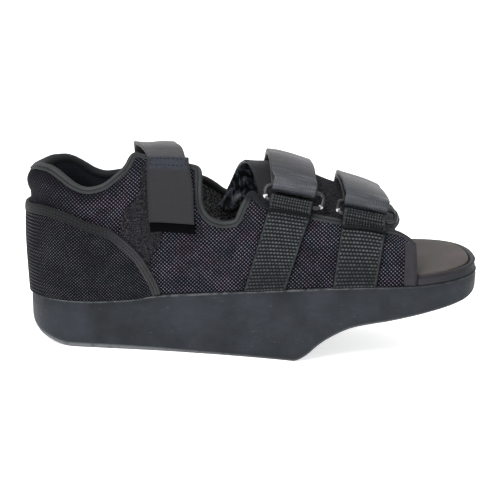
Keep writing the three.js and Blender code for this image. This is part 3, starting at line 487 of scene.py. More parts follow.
def look_up(x, wanted, known, result):
    """Values of a table of sections at places where the known table has the wanted values."""
    place = np.clip((x - SECTION_X[0]) / SECTION_GAP, 0, len(SECTION_X) - 1.001)
    low = place.astype(int)
    at = np.arange(len(x))
    found = []
    for row in (low, low + 1):
        values = known[row]
        rising = np.sign(values[:, -1:] - values[:, :1])
        i = np.clip((rising * (values - wanted[:, None]) < 0).sum(1) - 1, 0, SECTION_STEPS - 1)
        span = values[at, i + 1] - values[at, i]
        t = np.clip((wanted - values[at, i]) / np.where(np.abs(span) < TINY, TINY, span), 0, 1)
        found.append(lerp(result[row, i], result[row, i + 1], t))
    return lerp(found[0], found[1], place - low)


def girth_at_height(x, side, height):
    """Signed girth at which the section has a height."""
    shape = np.shape(x)
    height = np.broadcast_to(height, shape).ravel()
    return side * look_up(np.ravel(x), height, HEIGHTS[side], GIRTHS[side]).reshape(shape)


def full_girth(x, side):
    return np.interp(x, SECTION_X, GIRTHS[side][:, -1])


def instep_point(x, girth, offset):
    """Point over the instep at x and a girth, moved outwards."""
    x, girth, offset = np.broadcast_arrays(x, girth, offset)
    shape = x.shape
    x, girth, offset = x.ravel().astype(float), girth.ravel().astype(float), offset.ravel()
    near = look_up(x, -girth, GIRTHS[NEAR], SECTION_ANGLES)
    far = look_up(x, girth, GIRTHS[FAR], SECTION_ANGLES)
    angle = np.where(girth < 0, -near, far)
    over = section_surface(x, np.minimum(angle + ANGLE_STEP, math.pi / 2))
    under = section_surface(x, np.maximum(angle - ANGLE_STEP, -math.pi / 2))
    ahead = section_surface(x + SLOPE_STEP, angle) - section_surface(x - SLOPE_STEP, angle)
    normal = unit(np.cross(ahead, over - under))
    return (section_surface(x, angle) + normal * offset[:, None]).reshape(shape + (3,))


# Meshes
outsole_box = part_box("outsole")
WIDEST = float(half_width(np.array(SOLE_LENGTH - TOE_ROUND), NEAR))
SHIFT = np.array([
    outsole_box[1].x / MM - (SOLE_LENGTH - SOLE_TIP),
    outsole_box[0].y / MM - WIDEST,
    outsole_box[0].z / MM,
])


def grid_faces(rows, cols, start=0, closed=False):
    """Quads of a grid of points that are stored row by row; closed joins the last column."""
    i, j = np.meshgrid(np.arange(rows - 1), np.arange(cols if closed else cols - 1), indexing="ij")
    beside = (j + 1) % cols
    quads = np.stack([i * cols + j, (i + 1) * cols + j, (i + 1) * cols + beside, i * cols + beside], -1)
    return quads.reshape(-1, 4) + start


def slab_faces(rows, cols):
    """Outer, inner and end quads of a layer whose outer grid is stored before its inner grid."""
    low = rows * cols
    ends = []
    for j, flip in ((0, False), (cols - 1, True)):
        i = np.arange(rows - 1) * cols + j
        side = np.stack([i, i + low, i + cols + low, i + cols], -1)
        ends.append(side[:, ::-1] if flip else side)
    for i, flip in ((0, True), (rows - 1, False)):
        j = np.arange(cols - 1) + i * cols
        side = np.stack([j, j + low, j + 1 + low, j + 1], -1)
        ends.append(side[:, ::-1] if flip else side)
    return grid_faces(rows, cols), grid_faces(rows, cols, low)[:, ::-1], np.concatenate(ends)


def loop_faces(rows, cols, start=0):
    """Quads of closed loops stored one after the other, with a fan of quads over each end."""
    k = np.arange(cols // 2 - 1)
    cap = np.stack([k, k + 1, cols - 2 - k, cols - 1 - k], -1)
    sides = grid_faces(rows, cols, closed=True)
    return np.concatenate([sides, cap, cap[:, ::-1] + (rows - 1) * cols]) + start


def piece(name, points, faces, looks, replaces=(), look_of_face=None, cloth=None):
    """A piece of quads that rides on the one body. cloth holds a place in mm for each point."""
    mesh = bpy.data.meshes.new(name)
    places = (np.asarray(points).reshape(-1, 3) + SHIFT) * MM
    mesh.vertices.add(len(places))
    mesh.vertices.foreach_set("co", places.ravel())
    mesh.loops.add(faces.size)
    mesh.loops.foreach_set("vertex_index", faces.ravel().astype(np.int32))
    mesh.polygons.add(len(faces))
    mesh.polygons.foreach_set("loop_start", np.arange(0, faces.size, 4, dtype=np.int32))
    mesh.polygons.foreach_set("use_smooth", np.ones(len(faces), bool))
    if look_of_face is not None:
        mesh.polygons.foreach_set("material_index", np.asarray(look_of_face, np.int32))
    if cloth is not None:
        layer = mesh.attributes.new("cloth", "FLOAT_VECTOR", "POINT")
        layer.data.foreach_set("vector", np.asarray(cloth, float).ravel())
    mesh.update(calc_edges=True)
    mesh.validate()
    obj = bpy.data.objects.new(name, mesh)
    bpy.context.scene.collection.objects.link(obj)
    for look in looks:
        mesh.materials.append(LOOKS[look] if isinstance(look, str) else look)
    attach(obj, "root")
    if replaces:
        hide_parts(*replaces)
    return obj


def slab(name, outer, inner, looks, replaces, part_looks=(0, 0, 0), cloth=None):
    """A closed layer between two grids. part_looks are those of its outer, inner and end faces."""
    parts = slab_faces(*outer.shape[:2])
    look_of_face = np.concatenate([np.broadcast_to(look, len(part)) for look, part in zip(part_looks, parts)])
    faces = np.concatenate(parts)
    return piece(name, np.stack([outer, inner]), faces, looks, replaces, look_of_face, cloth)


def spline(rows, per_mm):
    """Smooth curves through rows of points, resampled evenly along their mean length."""
    at = path_lengths(rows).mean(1)
    tangents = np.gradient(rows, at, axis=0)
    wanted = np.linspace(0, at[-1], int(at[-1] * per_mm) + 1)
    i = np.clip(np.searchsorted(at, wanted, side="right") - 1, 0, len(at) - 2)
    span = (at[i + 1] - at[i])[:, None, None]
    t = (wanted - at[i])[:, None, None] / span
    return hermite(rows[i], rows[i + 1], tangents[i] * span, tangents[i + 1] * span, t), wanted


def grid_normals(points):
    return unit(np.cross(np.gradient(points, axis=0), np.gradient(points, axis=1)))


# Materials
def dimmed(colour, share):
    return tuple(value * share for value in colour)


class Look:
    """A procedural material, with short calls for the nodes that the looks here are made of."""

    def __init__(self, name, roughness, specular=0.5, sheen=0.0, sheen_roughness=0.5):
        self.material = bpy.data.materials.new(name)
        self.material.use_nodes = True
        self.nodes = self.material.node_tree.nodes
        self.links = self.material.node_tree.links
        self.shader = self.nodes["Principled BSDF"]
        self.set("Roughness", roughness)
        self.set("Specular IOR Level", specular)
        self.set("Sheen Weight", sheen)
        self.set("Sheen Roughness", sheen_roughness)

    def put(self, socket, value):
        if isinstance(value, bpy.types.NodeSocket):
            self.links.new(value, socket)
        else:
            socket.default_value = (*value, 1) if socket.type == "RGBA" else value

    def set(self, key, value):
        self.put(self.shader.inputs[key], value)

    def node(self, kind, inputs=(), output=0, **settings):
        made = self.nodes.new(kind)
        for key, value in settings.items():
            setattr(made, key, value)
        for key, value in dict(inputs).items():
            self.put(made.inputs[key], value)
        return made.outputs[output]

    def math(self, operation, *values):
        return self.node("ShaderNodeMath", enumerate(values), operation=operation)

    def times(self, first, *others):
        for other in others:
            first = self.math("MULTIPLY", first, other)
        return first

    def cloth(self):
        """Place on the cloth in mm: along, up and a third value that each piece gives."""
        return self.node("ShaderNodeAttribute", output="Vector", attribute_name="cloth")

    def place(self):
        """Place on the object in mm."""
        coordinates = self.node("ShaderNodeTexCoord", output="Object")
        return self.node("ShaderNodeVectorMath", {0: coordinates, "Scale": 1 / MM}, operation="SCALE")

    def split(self, vector):
        made = self.nodes.new("ShaderNodeSeparateXYZ")
        self.put(made.inputs[0], vector)
        return made.outputs

    def stretch(self, vector, factors):
        return self.node("ShaderNodeVectorMath", {0: vector, 1: factors}, operation="MULTIPLY")

    def noise(self, vector, size, detail=2.0, roughness=0.5):
        inputs = {"Vector": vector, "Scale": 1 / size, "Detail": detail, "Roughness": roughness}
        return self.node("ShaderNodeTexNoise", inputs, output="Fac")

    def step(self, value, low, high, to_low=0.0, to_high=1.0):
        inputs = {"Value": value, 1: low, 2: high, 3: to_low, 4: to_high}
        return self.node("ShaderNodeMapRange", inputs, interpolation_type="SMOOTHSTEP")

    def wave(self, value, pitch):
        """Cosine of a place in mm."""
        return self.math("COSINE", self.times(value, 2 * math.pi / pitch))

    def mix(self, factor, a, b):
        return self.node("ShaderNodeMix", {0: factor, 6: a, 7: b}, output=2, data_type="RGBA")

    def colour(self, value):
        self.set("Base Color", value)

    def bump(self, *layers):
        """Bump layers, each a height from 0 to 1 and its depth in mm."""
        below = {}
        for height, depth in layers:
            inputs = {"Height": height, "Distance": depth * MM, "Strength": 1.0}
            below = {"Normal": self.node("ShaderNodeBump", {**inputs, **below})}
        self.set("Normal", below["Normal"])


def foam_look():
    """Moulded foam with clouds and scuffs, and painted highlights in light lines along its top and bottom
    edges.
    """
    look = Look("sole_foam", 0.6, 0.12)
    place = look.place()
    along, below_rim, over_base = look.split(look.cloth())
    cloudy = look.step(look.noise(place, 26, 3, 0.6), 0.3, 0.7)
    patchy = look.step(look.noise(look.stretch(place, (1, 1, 1.7)), 7, 4, 0.65), 0.35, 0.72, 0, 0.5)
    scuff = look.noise(look.stretch(place, (0.25, 1, 1.1)), 1.5, 5, 0.7)
    colour = look.mix(cloudy, (0.008, 0.0098, 0.0115), (0.0175, 0.0205, 0.026))
    colour = look.mix(patchy, colour, (0.0105, 0.0115, 0.0155))
    colour = look.mix(look.step(scuff, 0.6, 0.76, 0, 0.42), colour, (0.1, 0.105, 0.11))
    # Painted highlights: light lines along the top and bottom edges, broken up at random; the top one fades
    # towards the toe, the bottom one is wider and stronger at the heel.
    uneven = look.noise(place, 5, 3, 0.6)
    top_highlight = look.times(look.step(below_rim, 0.5, 1.6, 1, 0), look.step(uneven, 0.3, 0.6))
    top_highlight = look.times(top_highlight, look.step(along, 190, 235, 1, 0.25))
    narrowed = look.times(over_base, look.step(along, 50, 170, 0.55, 1.1))
    low_highlight = look.times(look.step(narrowed, 1.0, 2.0, 1, 0), look.step(uneven, 0.15, 0.5))
    low_highlight = look.times(low_highlight, look.step(along, 60, 180, 1.2, 0.45))
    lines = look.times(look.math("MAXIMUM", top_highlight, low_highlight), 0.65)
    look.colour(look.mix(lines, colour, (0.11, 0.115, 0.12)))
    look.set("Roughness", look.step(scuff, 0.4, 0.7, 0.5, 0.72))
    look.bump((look.noise(place, 0.45, 3, 0.6), 0.12), (look.noise(place, 9), 0.25))
    return look.material


def footbed_look():
    """Foam rim: painted shade towards the far side, and of the sole's tone below a line that rises at the
    toe.
    """
    look = Look("footbed_foam", 0.6, 0.15)
    place = look.place()
    _, across, _ = look.split(place)
    along, below_rim, _ = look.split(look.cloth())
    sole_line = look.step(along, 242, 273, 0.0, 5.0)
    above = look.step(look.math("ADD", below_rim, sole_line), -0.6, 0.6, 1, 0)
    colour = look.mix(look.noise(place, 18, 3), (0.013, 0.0118, 0.0142), (0.027, 0.0245, 0.0295))
    # Painted shade: the rim darkens towards the far side, inside the shoe.
    colour = look.mix(look.step(across, 0, 34, 0, 0.6), colour, (0.005, 0.0047, 0.0055))
    look.colour(look.mix(above, (0.0125, 0.0145, 0.0165), colour))
    look.bump((look.noise(place, 0.5, 3), 0.12), (look.noise(place, 6), 0.2))
    return look.material


def insole_look():
    look = Look("insole_cover", 0.7, 0.15)
    place = look.place()
    warm = look.step(look.noise(place, 22), 0.4, 0.68)
    mottled = look.step(look.noise(place, 3, 4, 0.7), 0.3, 0.75, 0, 0.35)
    colour = look.mix(warm, (0.044, 0.039, 0.036), (0.06, 0.047, 0.047))
    look.colour(look.mix(mottled, colour, (0.05, 0.047, 0.045)))
    look.bump((look.noise(place, 0.35, 3), 0.08), (look.noise(place, 12), 0.2))
    return look.material


def mesh_look(name, light, tint, pitch, heel_tone, collar_tone=None, ribbed=False):
    """Open-weave mesh: light crossings on a dark backing, on both diagonals.

    heel_tone and collar_tone are the shares of light on the crossings round the heel and just below
    the collar's edge. ribbed turns the weave into rows at the back of the heel.
    """
    look = Look(name, 0.8, 0.05)
    cloth = look.cloth()
    along, up, from_edge = look.split(cloth)
    along = look.math("ADD", along, look.times(look.noise(cloth, 14), 1.6))
    from_heel = look.math("ABSOLUTE", along)
    weave = look.times(look.wave(along, pitch), look.wave(up, pitch))
    if ribbed:
        at_heel = look.step(from_heel, 10, 44, 1, 0)
        rows = look.times(at_heel, look.times(look.wave(up, pitch * 1.1), 0.8))
        weave = look.math("ADD", look.times(weave, look.math("SUBTRACT", 1.0, at_heel)), rows)
    cords = look.step(weave, 0.0, 0.75)
    fray = look.step(look.noise(cloth, 0.8, 2, 0.6), 0.32, 0.66, 0.3, 1.0)
    soft = look.step(look.noise(cloth, 11), 0.3, 0.7)
    uneven = look.step(look.noise(cloth, 17, 3, 0.6), 0.3, 0.7, 0.55, 1.1)
    uneven = look.times(uneven, look.step(from_heel, 26, 74, heel_tone, 1.0))
    if collar_tone:
        collar = look.step(from_edge, 5, 14, collar_tone, 1.0)
        uneven = look.times(uneven, look.math("MAXIMUM", look.step(from_heel, 66, 92), collar))
    lit = look.times(look.times(cords, fray), uneven)
    look.colour(look.mix(lit, (0.001, 0.001, 0.002), look.mix(soft, light, tint)))
    look.bump((cords, 0.35), (look.noise(cloth, 0.5), 0.1))
    return look.material


def binding_look(name, low, high, grooves=None, shaded=None, inner_shade=False):
    """Folded binding tape. grooves is the spacing of the seams that run along it, in mm.

    shaded is a stretch of it that lies dark: its start and end along the tape, its soft edge and its
    tone. inner_shade paints shade on the part that is folded over the edge.
    """
    look = Look(name, 0.65, 0.1, 0.04, 0.45)
    cloth = look.cloth()
    along, fold, depth = look.split(cloth)
    colour = look.mix(look.noise(cloth, 7), low, high)
    if grooves:
        seam = look.step(look.wave(depth, grooves), 0.1, 0.8, 0, 0.75)
        colour = look.mix(seam, colour, (0.002, 0.002, 0.0025))
    if shaded:
        start, end, edge, tone = shaded
        inside = look.times(look.step(along, start - edge, start), look.step(along, end, end + edge, 1, 0))
        colour = look.mix(inside, colour, tone)
    # Painted shade on the part of the tape that is folded over the edge.
    if inner_shade:
        colour = look.mix(look.step(fold, 7.8, 9.8, 0, 0.85), colour, (0.005, 0.0054, 0.0064))
    look.colour(colour)
    look.bump((look.step(look.wave(along, 0.8), -1, 1), 0.06), (look.noise(cloth, 2.5), 0.25))
    return look.material


def lining_look():
    look = Look("collar_lining", 0.9, 0.08)
    cloth = look.cloth()
    fuzz = look.noise(cloth, 0.6, 3, 0.7)
    look.colour(look.mix(look.step(fuzz, 0.4, 0.75), (0.003, 0.004, 0.006), (0.018, 0.02, 0.023)))
    look.bump((fuzz, 0.3), (look.noise(cloth, 3), 0.3))
    return look.material


def pile_look(name, light):
    look = Look(name, 0.9, 0.08)
    fuzz = look.noise(look.place(), 0.75, 3, 0.7)
    look.colour(look.mix(look.step(fuzz, 0.42, 0.72), (0.002, 0.002, 0.003), light))
    look.bump((fuzz, 0.6))
    return look.material


def strap_look(name, roughness, shade, width=STRAP_WIDTH, cover=None):
    """Satin strap with painted sheen in lighter streaks, and painted shade along its edges.

    Its cloth's third value is above 0 where it bends through a ring and below 0 where it lies under
    its own end, which is painted near black as shade. cover is the colour of a cloth that covers the
    part above 0 instead.
    """
    look = Look(name, roughness, 0.3, 0.05, 0.35)
    cloth = look.cloth()
    along, up, marked = look.split(cloth)
    ringed = look.math("MAXIMUM", marked, 0.0)
    threads = look.noise(look.stretch(cloth, (0.05, 1, 0)), 0.45, 2, 0.6)
    flecks = look.noise(look.stretch(cloth, (1, 1, 0)), 0.8, 3, 0.7)
    # Painted sheen: lighter streaks along the satin.
    sheen_streaks = look.noise(look.stretch(cloth, (0.12, 1, 0)), 2.6, 2, 0.6)
    bands = look.step(look.noise(look.stretch(cloth, (1, 0.08, 0)), 1.6, 2, 0.6), 0.45, 0.7)
    ribs = look.times(look.step(look.wave(up, 1.5), -0.6, 0.9), ringed)
    low = dimmed((0.03, 0.03, 0.037), shade)
    colour = look.mix(sheen_streaks, low, dimmed((0.058, 0.056, 0.067), shade))
    colour = look.mix(look.step(threads, 0.3, 0.7, 0, 0.5), colour, dimmed(low, 0.7))
    colour = look.mix(look.step(flecks, 0.4, 0.7, 0, 0.45), colour, dimmed(low, 0.45))
    if cover:
        spots = look.step(look.noise(cloth, 1.3, 2, 0.6), 0.3, 0.7)
        colour = look.mix(ringed, colour, look.mix(spots, dimmed(cover, 0.5), cover))
    else:
        # The stretch bent through the ring: its own dark bands, with lighter ribs that are painted highlight.
        bent = look.mix(bands, (0.0085, 0.0105, 0.0145), (0.034, 0.038, 0.046))
        bent = look.mix(look.times(ribs, 0.22), bent, (0.05, 0.054, 0.064))
        colour = look.mix(look.times(ringed, 0.85), colour, bent)
    # Painted shade along both edges and on the sides of the strap.
    edge = look.step(look.math("ABSOLUTE", up), width / 2 - 0.75, width / 2 - 0.35, 0, 0.95)
    colour = look.mix(edge, colour, (0.0035, 0.004, 0.005))
    # Painted shade: the layer under the strap's own end is near black.
    look.colour(look.mix(look.step(marked, -0.9, -0.2, 0.9, 0), colour, (0.0015, 0.0015, 0.002)))
    cross_threads = look.step(look.wave(along, 0.9), -1, 1)
    look.bump((threads, 0.14), (cross_threads, 0.05), (ribs, 0.05), (bands, 0.12))
    return look.material


def webbing_look():
    """Ribbed webbing. Its cloth's third value is the height of the ribs, from 0 to 1."""
    look = Look("ribbed_webbing", 0.6, 0.06)
    cloth = look.cloth()
    _, _, height = look.split(cloth)
    fibre = look.noise(look.stretch(cloth, (1, 0.3, 0)), 0.3, 2, 0.6)
    # Painted light: the rib tops are lighter as highlights and the grooves near black as shade.
    colour = look.mix(look.step(height, 0.45, 1.0), (0.001, 0.0013, 0.0015), (0.073, 0.08, 0.084))
    look.colour(look.mix(look.step(fibre, 0.3, 0.75, 0, 0.4), colour, (0.016, 0.019, 0.02)))
    look.bump((fibre, 0.1))
    return look.material


def satin_look(name, low, high):
    """Thin dark lining with painted highlights in lighter bluish lines, as on creases."""
    look = Look(name, 0.45, 0.4)
    cloth = look.cloth()
    lines = look.noise(look.stretch(cloth, (1, 0.35, 1)), 5, 3, 0.55)
    ridge = look.math("ABSOLUTE", look.math("SUBTRACT", lines, 0.5))
    # Painted highlights: the lighter bluish lines.
    look.colour(look.mix(look.step(ridge, 0.0, 0.05, 1, 0), low, high))
    look.bump((look.noise(cloth, 0.6), 0.05), (lines, 1.5))
    return look.material


def plain_look(name, colour, roughness, specular, grain=0.3, depth=0.05):
    """A plain material with a fine grain and a little change of colour."""
    look = Look(name, roughness, specular)
    place = look.place()
    look.colour(look.mix(look.noise(place, 4, 3), colour, dimmed(colour, 1.7)))
    look.bump((look.noise(place, grain), depth))
    return look.material


def ring_look():
    """Dark glossy plastic with small painted highlights on its ends."""
    look = Look("ring_plastic", 0.22, 0.28)
    _, _, glint = look.split(look.cloth())
    look.colour(look.mix(look.step(glint, 0.35, 0.8), (0.006, 0.006, 0.0072), (0.55, 0.55, 0.56)))
    look.bump((look.noise(look.place(), 0.6), 0.01))
    return look.material


LOOKS = {
    "sole": foam_look(),
    "footbed": footbed_look(),
    "insole": insole_look(),
    "mesh": mesh_look("mesh_fabric", (0.14, 0.113, 0.152), (0.096, 0.111, 0.14), MESH_PITCH, 0.5, 0.3),
    "counter": mesh_look("counter_mesh", (0.07, 0.065, 0.075), (0.055, 0.064, 0.069), COUNTER_PITCH, 1.15,
                         ribbed=True),
    "counter_binding": binding_look("counter_binding", (0.0095, 0.0096, 0.0108), (0.031, 0.0312, 0.0335),
                                    COUNTER_GROOVES, (62, 400, 32, (0.0042, 0.0045, 0.005)), True),
    "band": binding_look("toe_band", (0.0135, 0.0128, 0.016), (0.0235, 0.022, 0.0272)),
    # Darker than the pile: the band's own tone, and painted shade beside the rear strap.
    "flap_band": binding_look("flap_band", (0.0045, 0.0045, 0.0055), (0.0115, 0.0112, 0.0138)),
    "lining": lining_look(),
    "flap_lining": satin_look("flap_lining", (0.004, 0.0045, 0.006), (0.06, 0.07, 0.09)),
    "pile": pile_look("loop_pile", (0.043, 0.04, 0.045)),
    "patch": pile_look("patch_pile", (0.04, 0.038, 0.042)),
    "tab_pile": pile_look("tab_pile", (0.18, 0.182, 0.185)),
    "strap": strap_look("strap_tape", 0.42, 0.58, STRAP_SHOWN_WIDTH),
    "ankle": strap_look("ankle_tape", 0.42, 0.47),
    "tab": strap_look("tab_tape", 0.8, 0.17, cover=(0.0125, 0.015, 0.024)),
    "tab_edge": plain_look("tab_edge", (0.04, 0.03, 0.022), 0.8, 0.1, 0.5, 0.1),
    "webbing": webbing_look(),
    "hook": plain_look("hook_tape", (0.0008, 0.0008, 0.0011), 0.8, 0.02, 0.8, 0.3),
    "ring": ring_look(),
    "dark_thread": plain_look("dark_thread", (0.003, 0.003, 0.004), 0.7, 0.1),
    "thread": plain_look("thread", (0.012, 0.0125, 0.014), 0.6, 0.2),
}


# Sole, footbed and insole
def sole_stations(step):
    """X along the sole, close together round heel and toe."""
    heel = HEEL_ROUND * (1 - np.cos(np.linspace(0, math.pi / 2, 34)))
    toe_start = SOLE_LENGTH - TOE_ROUND
    toe = toe_start + TOE_ROUND * np.sin(np.linspace(0, math.pi / 2, 60))
    stations = np.concatenate([heel, np.arange(HEEL_ROUND + step, toe_start, step), toe])
    return np.clip(stations, SHOWN_TIP, SOLE_LENGTH - SHOWN_TIP)


def cross_body(name, step, profile, look, node):
    """A solid across the shoe. profile gives insets and heights at x for one side, bottom to top."""
    stations = sole_stations(step)
    near, far = (
        np.stack([
            np.concatenate([plan_point(stations, side + 0 * stations, inset), height[:, None]], -1)
            for inset, height in profile(stations, side)
        ], 1)
        for side in SIDES
    )
    share = np.linspace(0, 1, 14)[None, :, None]
    top = lerp(near[:, -1:], far[:, -1:], share)
    low = lerp(far[:, :1], near[:, :1], share)
    around = np.concatenate([near, top[:, 1:-1], far[:, ::-1], low[:, 1:-1]], 1)
    rows, cols = around.shape[:2]
    start, end = (lerp(near[row][:, None], far[row][:, None], share) for row in (0, -1))
    faces = np.concatenate([
        grid_faces(rows, cols, closed=True)[:, ::-1],
        grid_faces(*start.shape[:2], rows * cols)[:, ::-1],
        grid_faces(*end.shape[:2], rows * cols + start.size // 3),
    ])
    points = np.concatenate([part.reshape(-1, 3) for part in (around, start, end)])
    x, _, z = points.T
    cloth = np.stack([x, rim(x) - z, np.minimum(z - underside(x), 50)], -1)
    cloth[rows * cols:, 1:] = 9
    obj = piece(name, points, faces, [look], [node], cloth=cloth)
    joined = bmesh.new()
    joined.from_mesh(obj.data)
    bmesh.ops.remove_doubles(joined, verts=joined.verts, dist=0.00001)
    joined.to_mesh(obj.data)
    joined.free()


def corner(radius, steps=4):
    """Quarter round: pairs that go from (1, 0) to (0, 1) times the radius."""
    turn = np.linspace(0, math.pi / 2, steps + 1)
    return [(radius * (1 - math.sin(t)), radius * (1 - math.cos(t))) for t in turn]


def outsole_profile(x, side):
    draft = lerp(SOLE_DRAFT, TOE_DRAFT, x / SOLE_LENGTH)
    low, top = underside(x), rim(x)
    rows = [(draft + inset, low + up) for inset, up in corner(SOLE_CORNER)]
    for share in (0.2, 0.4, 0.6, 0.8):
        rows.append((draft * (1 - share), lerp(low + SOLE_CORNER, top - SOLE_EDGE, share)))
    return rows + [(0 * x + SOLE_EDGE - up, top - down) for down, up in corner(SOLE_EDGE)]


def footbed_inset(x, side):
    end = OPEN_ENDS[side]
    return lerp(UPPER_INSET + WALL + 2 * CLEARANCE, TOE_INSET, smooth(end + 0.6, end + 1.2, x))


def midsole_profile(x, side):
    inset = footbed_inset(x, side)
    low = rim(x) + CLEARANCE
    top = low + MIDSOLE_THICKNESS
    seam = SEAM_DEPTH * smooth(OPEN_ENDS[side], OPEN_ENDS[side] + 4, x)
    lip = inset + MIDSOLE_LIP
    return [
        (inset + 0.4, low), (inset, low + 0.3), (inset, low + SEAM_RISE - 0.5),
        (inset + seam, low + SEAM_RISE), (inset, low + SEAM_RISE + 0.5),
        *((inset + LIP_EDGE - up, top - down) for down, up in corner(LIP_EDGE, 5)),
        (lip - 0.7, top), (lip - 0.2, top - 0.15), (lip, top - 0.6), (lip + 0.2, top - RECESS_DEPTH),
    ]


def insole_profile(x, side):
    inset = footbed_inset(x, side) + MIDSOLE_LIP + INSOLE_GROOVE
    low = rim(x) + MIDSOLE_THICKNESS - RECESS_DEPTH + 2.5 * CLEARANCE
    top = low + INSOLE_THICKNESS
    return [
        (inset, low), (inset, top - 0.7), (inset + 0.2, top - 0.25), (inset + 0.7, top),
        (inset + 3, top), (inset + 8, top - 0.15),
    ]


# Upper
def even_ways(edge, side, end_x, step):
    """Ways from the back of the heel to end_x, even along a top edge, and the edge's heights."""
    fine = np.linspace(0, float(way_of_x(end_x, side)), 9000)
    heights = edge(x_of_way(fine))
    lengths = path_lengths(np.stack([fine, heights], -1))
    even = np.linspace(0, lengths[-1], int(lengths[-1] / step) + 1)
    return np.interp(even, lengths, fine), np.interp(even, lengths, heights)


def soften(values, rounds):
    """Values averaged along a path, with its ends kept."""
    for _ in range(rounds):
        values = np.concatenate([values[:1], (values[:-2] + 2 * values[1:-1] + values[2:]) / 4, values[-1:]])
    return values


def rim_path(edges, ends, step, rounds):
    """Way and height along a top edge, from the near front end round the heel to the far one."""
    near, far = (even_ways(edges[side], side, ends[side], step) for side in SIDES)
    return [soften(np.concatenate([start[::-1], end[1:]]), rounds) for start, end in zip(near, far)]


def inward(way, height, turned=1):
    """Step in way and height for 1 mm on the surface, square to a path and away from its edge."""
    step = 0.3
    ahead = (wall_surface(way + step, height) - wall_surface(way - step, height)) / (2 * step)
    up = (wall_surface(way, height + step) - wall_surface(way, height - step)) / (2 * step)
    along = unit(np.gradient(wall_surface(way, height), axis=0))
    down = turned * unit(np.cross(np.cross(up, ahead), along))
    aa, au, uu = (ahead * ahead).sum(-1), (ahead * up).sum(-1), (up * up).sum(-1)
    da, du = (down * ahead).sum(-1), (down * up).sum(-1)
    scale = aa * uu - au * au
    return (da * uu - du * au) / scale, (du * aa - da * au) / scale


def edge_height(way):
    x = x_of_way(way)
    return np.where(way < 0, EDGES[NEAR](x), EDGES[FAR](x))


def creased(way, height):
    """Rise of the quarters' surface by the creases, in mm."""
    share = height / edge_height(way)
    total = 0 * way
    for side, x, place, along, up, tilt, depth in zip(*CREASES.values()):
        centre = way_of_x(x * SOLE_LENGTH, side)
        ahead = (way - centre) * side
        rise = (share - place) * edge_height(centre + 0 * way)
        turn = math.radians(tilt)
        u = (ahead * math.cos(turn) + rise * math.sin(turn)) / along
        v = (rise * math.cos(turn) - ahead * math.sin(turn)) / up
        total = total + depth * np.exp(-(u**2) - v**2)
    return total


def pad_rise(way, height):
    """Collar padding, which swells both faces of the wall below the collar's edge."""
    past = x_of_way(way) - COLLAR_PAD_END * SOLE_LENGTH
    fade = 1 - np.clip(past / (COLLAR_PAD_FADE * SOLE_LENGTH), 0, 1)
    depth = np.clip((edge_height(way) - height) / COLLAR_PAD_DEPTH, 0, 1)
    return fade * COLLAR_PAD * np.sin(math.pi * depth)


def outer_rise(way, height):
    return pad_rise(way, height) + creased(way, height)


def counter_rise(way, height):
    return COUNTER_SEAT + COUNTER_THICKNESS + 0 * way


def shell_grid(way, height, tuck, bottom, rows):
    """Way and height for a grid of columns from an edge, tucked in, down to the sole."""
    step_way, step_height = inward(way, height)
    top_way, top_height = way + step_way * tuck, height + step_height * tuck
    share = np.linspace(0, 1, rows)[None, :]
    depth = lerp(share, share**2, 0.35)
    ways = lerp(top_way[:, None], way[:, None], share)
    return ways, lerp(top_height[:, None], bottom + 0 * way[:, None], depth)


def cloth_place(points, ways, extra=0.0):
    """Place on the cloth in mm: along the sole line, up each column, and an extra value."""
    up = path_lengths(points[:, ::-1].swapaxes(0, 1)).T[:, ::-1]
    return np.stack([ways, up, extra + 0 * up], -1)


def make_quarters():
    way, height = rim_path(EDGES, OPEN_ENDS, SHELL_STEP, 2)
    ways, heights = shell_grid(way, height, SHELL_TUCK, 0.45, SHELL_ROWS)
    outer = wall_point(ways, heights, outer_rise(ways, heights))
    inner = wall_point(ways, heights, -WALL - pad_rise(ways, heights) + 0.4 * creased(ways, heights))
    face_ways, face_heights = ways[:-1, :-1], heights[:-1, :-1]
    x = x_of_way(face_ways) / SOLE_LENGTH
    tab = (face_ways > 0) & (x > FAR_TAB[0]) & (x < FAR_TAB[1])
    tab &= face_heights > 0.3 * edge_height(face_ways)
    inner_looks = np.where(tab & (x > FAR_TAB[1] - FAR_TAB_EDGE), 3, np.where(tab, 2, 1))
    from_edge = edge_height(ways) - heights
    cloth = np.stack([cloth_place(outer, ways, from_edge), cloth_place(inner, ways)])
    shell = slab("quarters", outer, inner, ["mesh", "lining", "tab_pile", "tab_edge"],
                 ["upper"], (0, inner_looks.ravel(), 1), cloth)


def wrap(name, way, height, profile, look, turned=1, rise=outer_rise):
    """A tape along an edge. profile rows are depth in from the edge, face and lift off that face."""
    step_way, step_height = inward(way, height, turned)
    surface = wall_surface(way, height)
    lengths = path_lengths(surface)
    loops, cloth = [], []
    for depth, across, lift in profile:
        inset = max(depth, 0)
        at_way, at_height = way + step_way * inset, height + step_height * inset
        outside = rise(at_way, at_height) + lift
        inside = -WALL - pad_rise(at_way, at_height) - lift
        point = wall_point(at_way, at_height, lerp(inside, outside, (across + 1) / 2))
        if depth < 0:
            point = point + unit(wall_surface(way + step_way, height + step_height) - surface) * depth
        cloth.append(np.stack([lengths, np.full(len(way), len(loops) * 0.8), 0 * way + depth], -1))
        loops.append(point)
    loops = np.stack(loops, 1)
    faces = loop_faces(*loops.shape[:2])
    piece(name, loops, faces[:, ::-1] if turned < 0 else faces, [look],
          cloth=np.stack(cloth, 1))


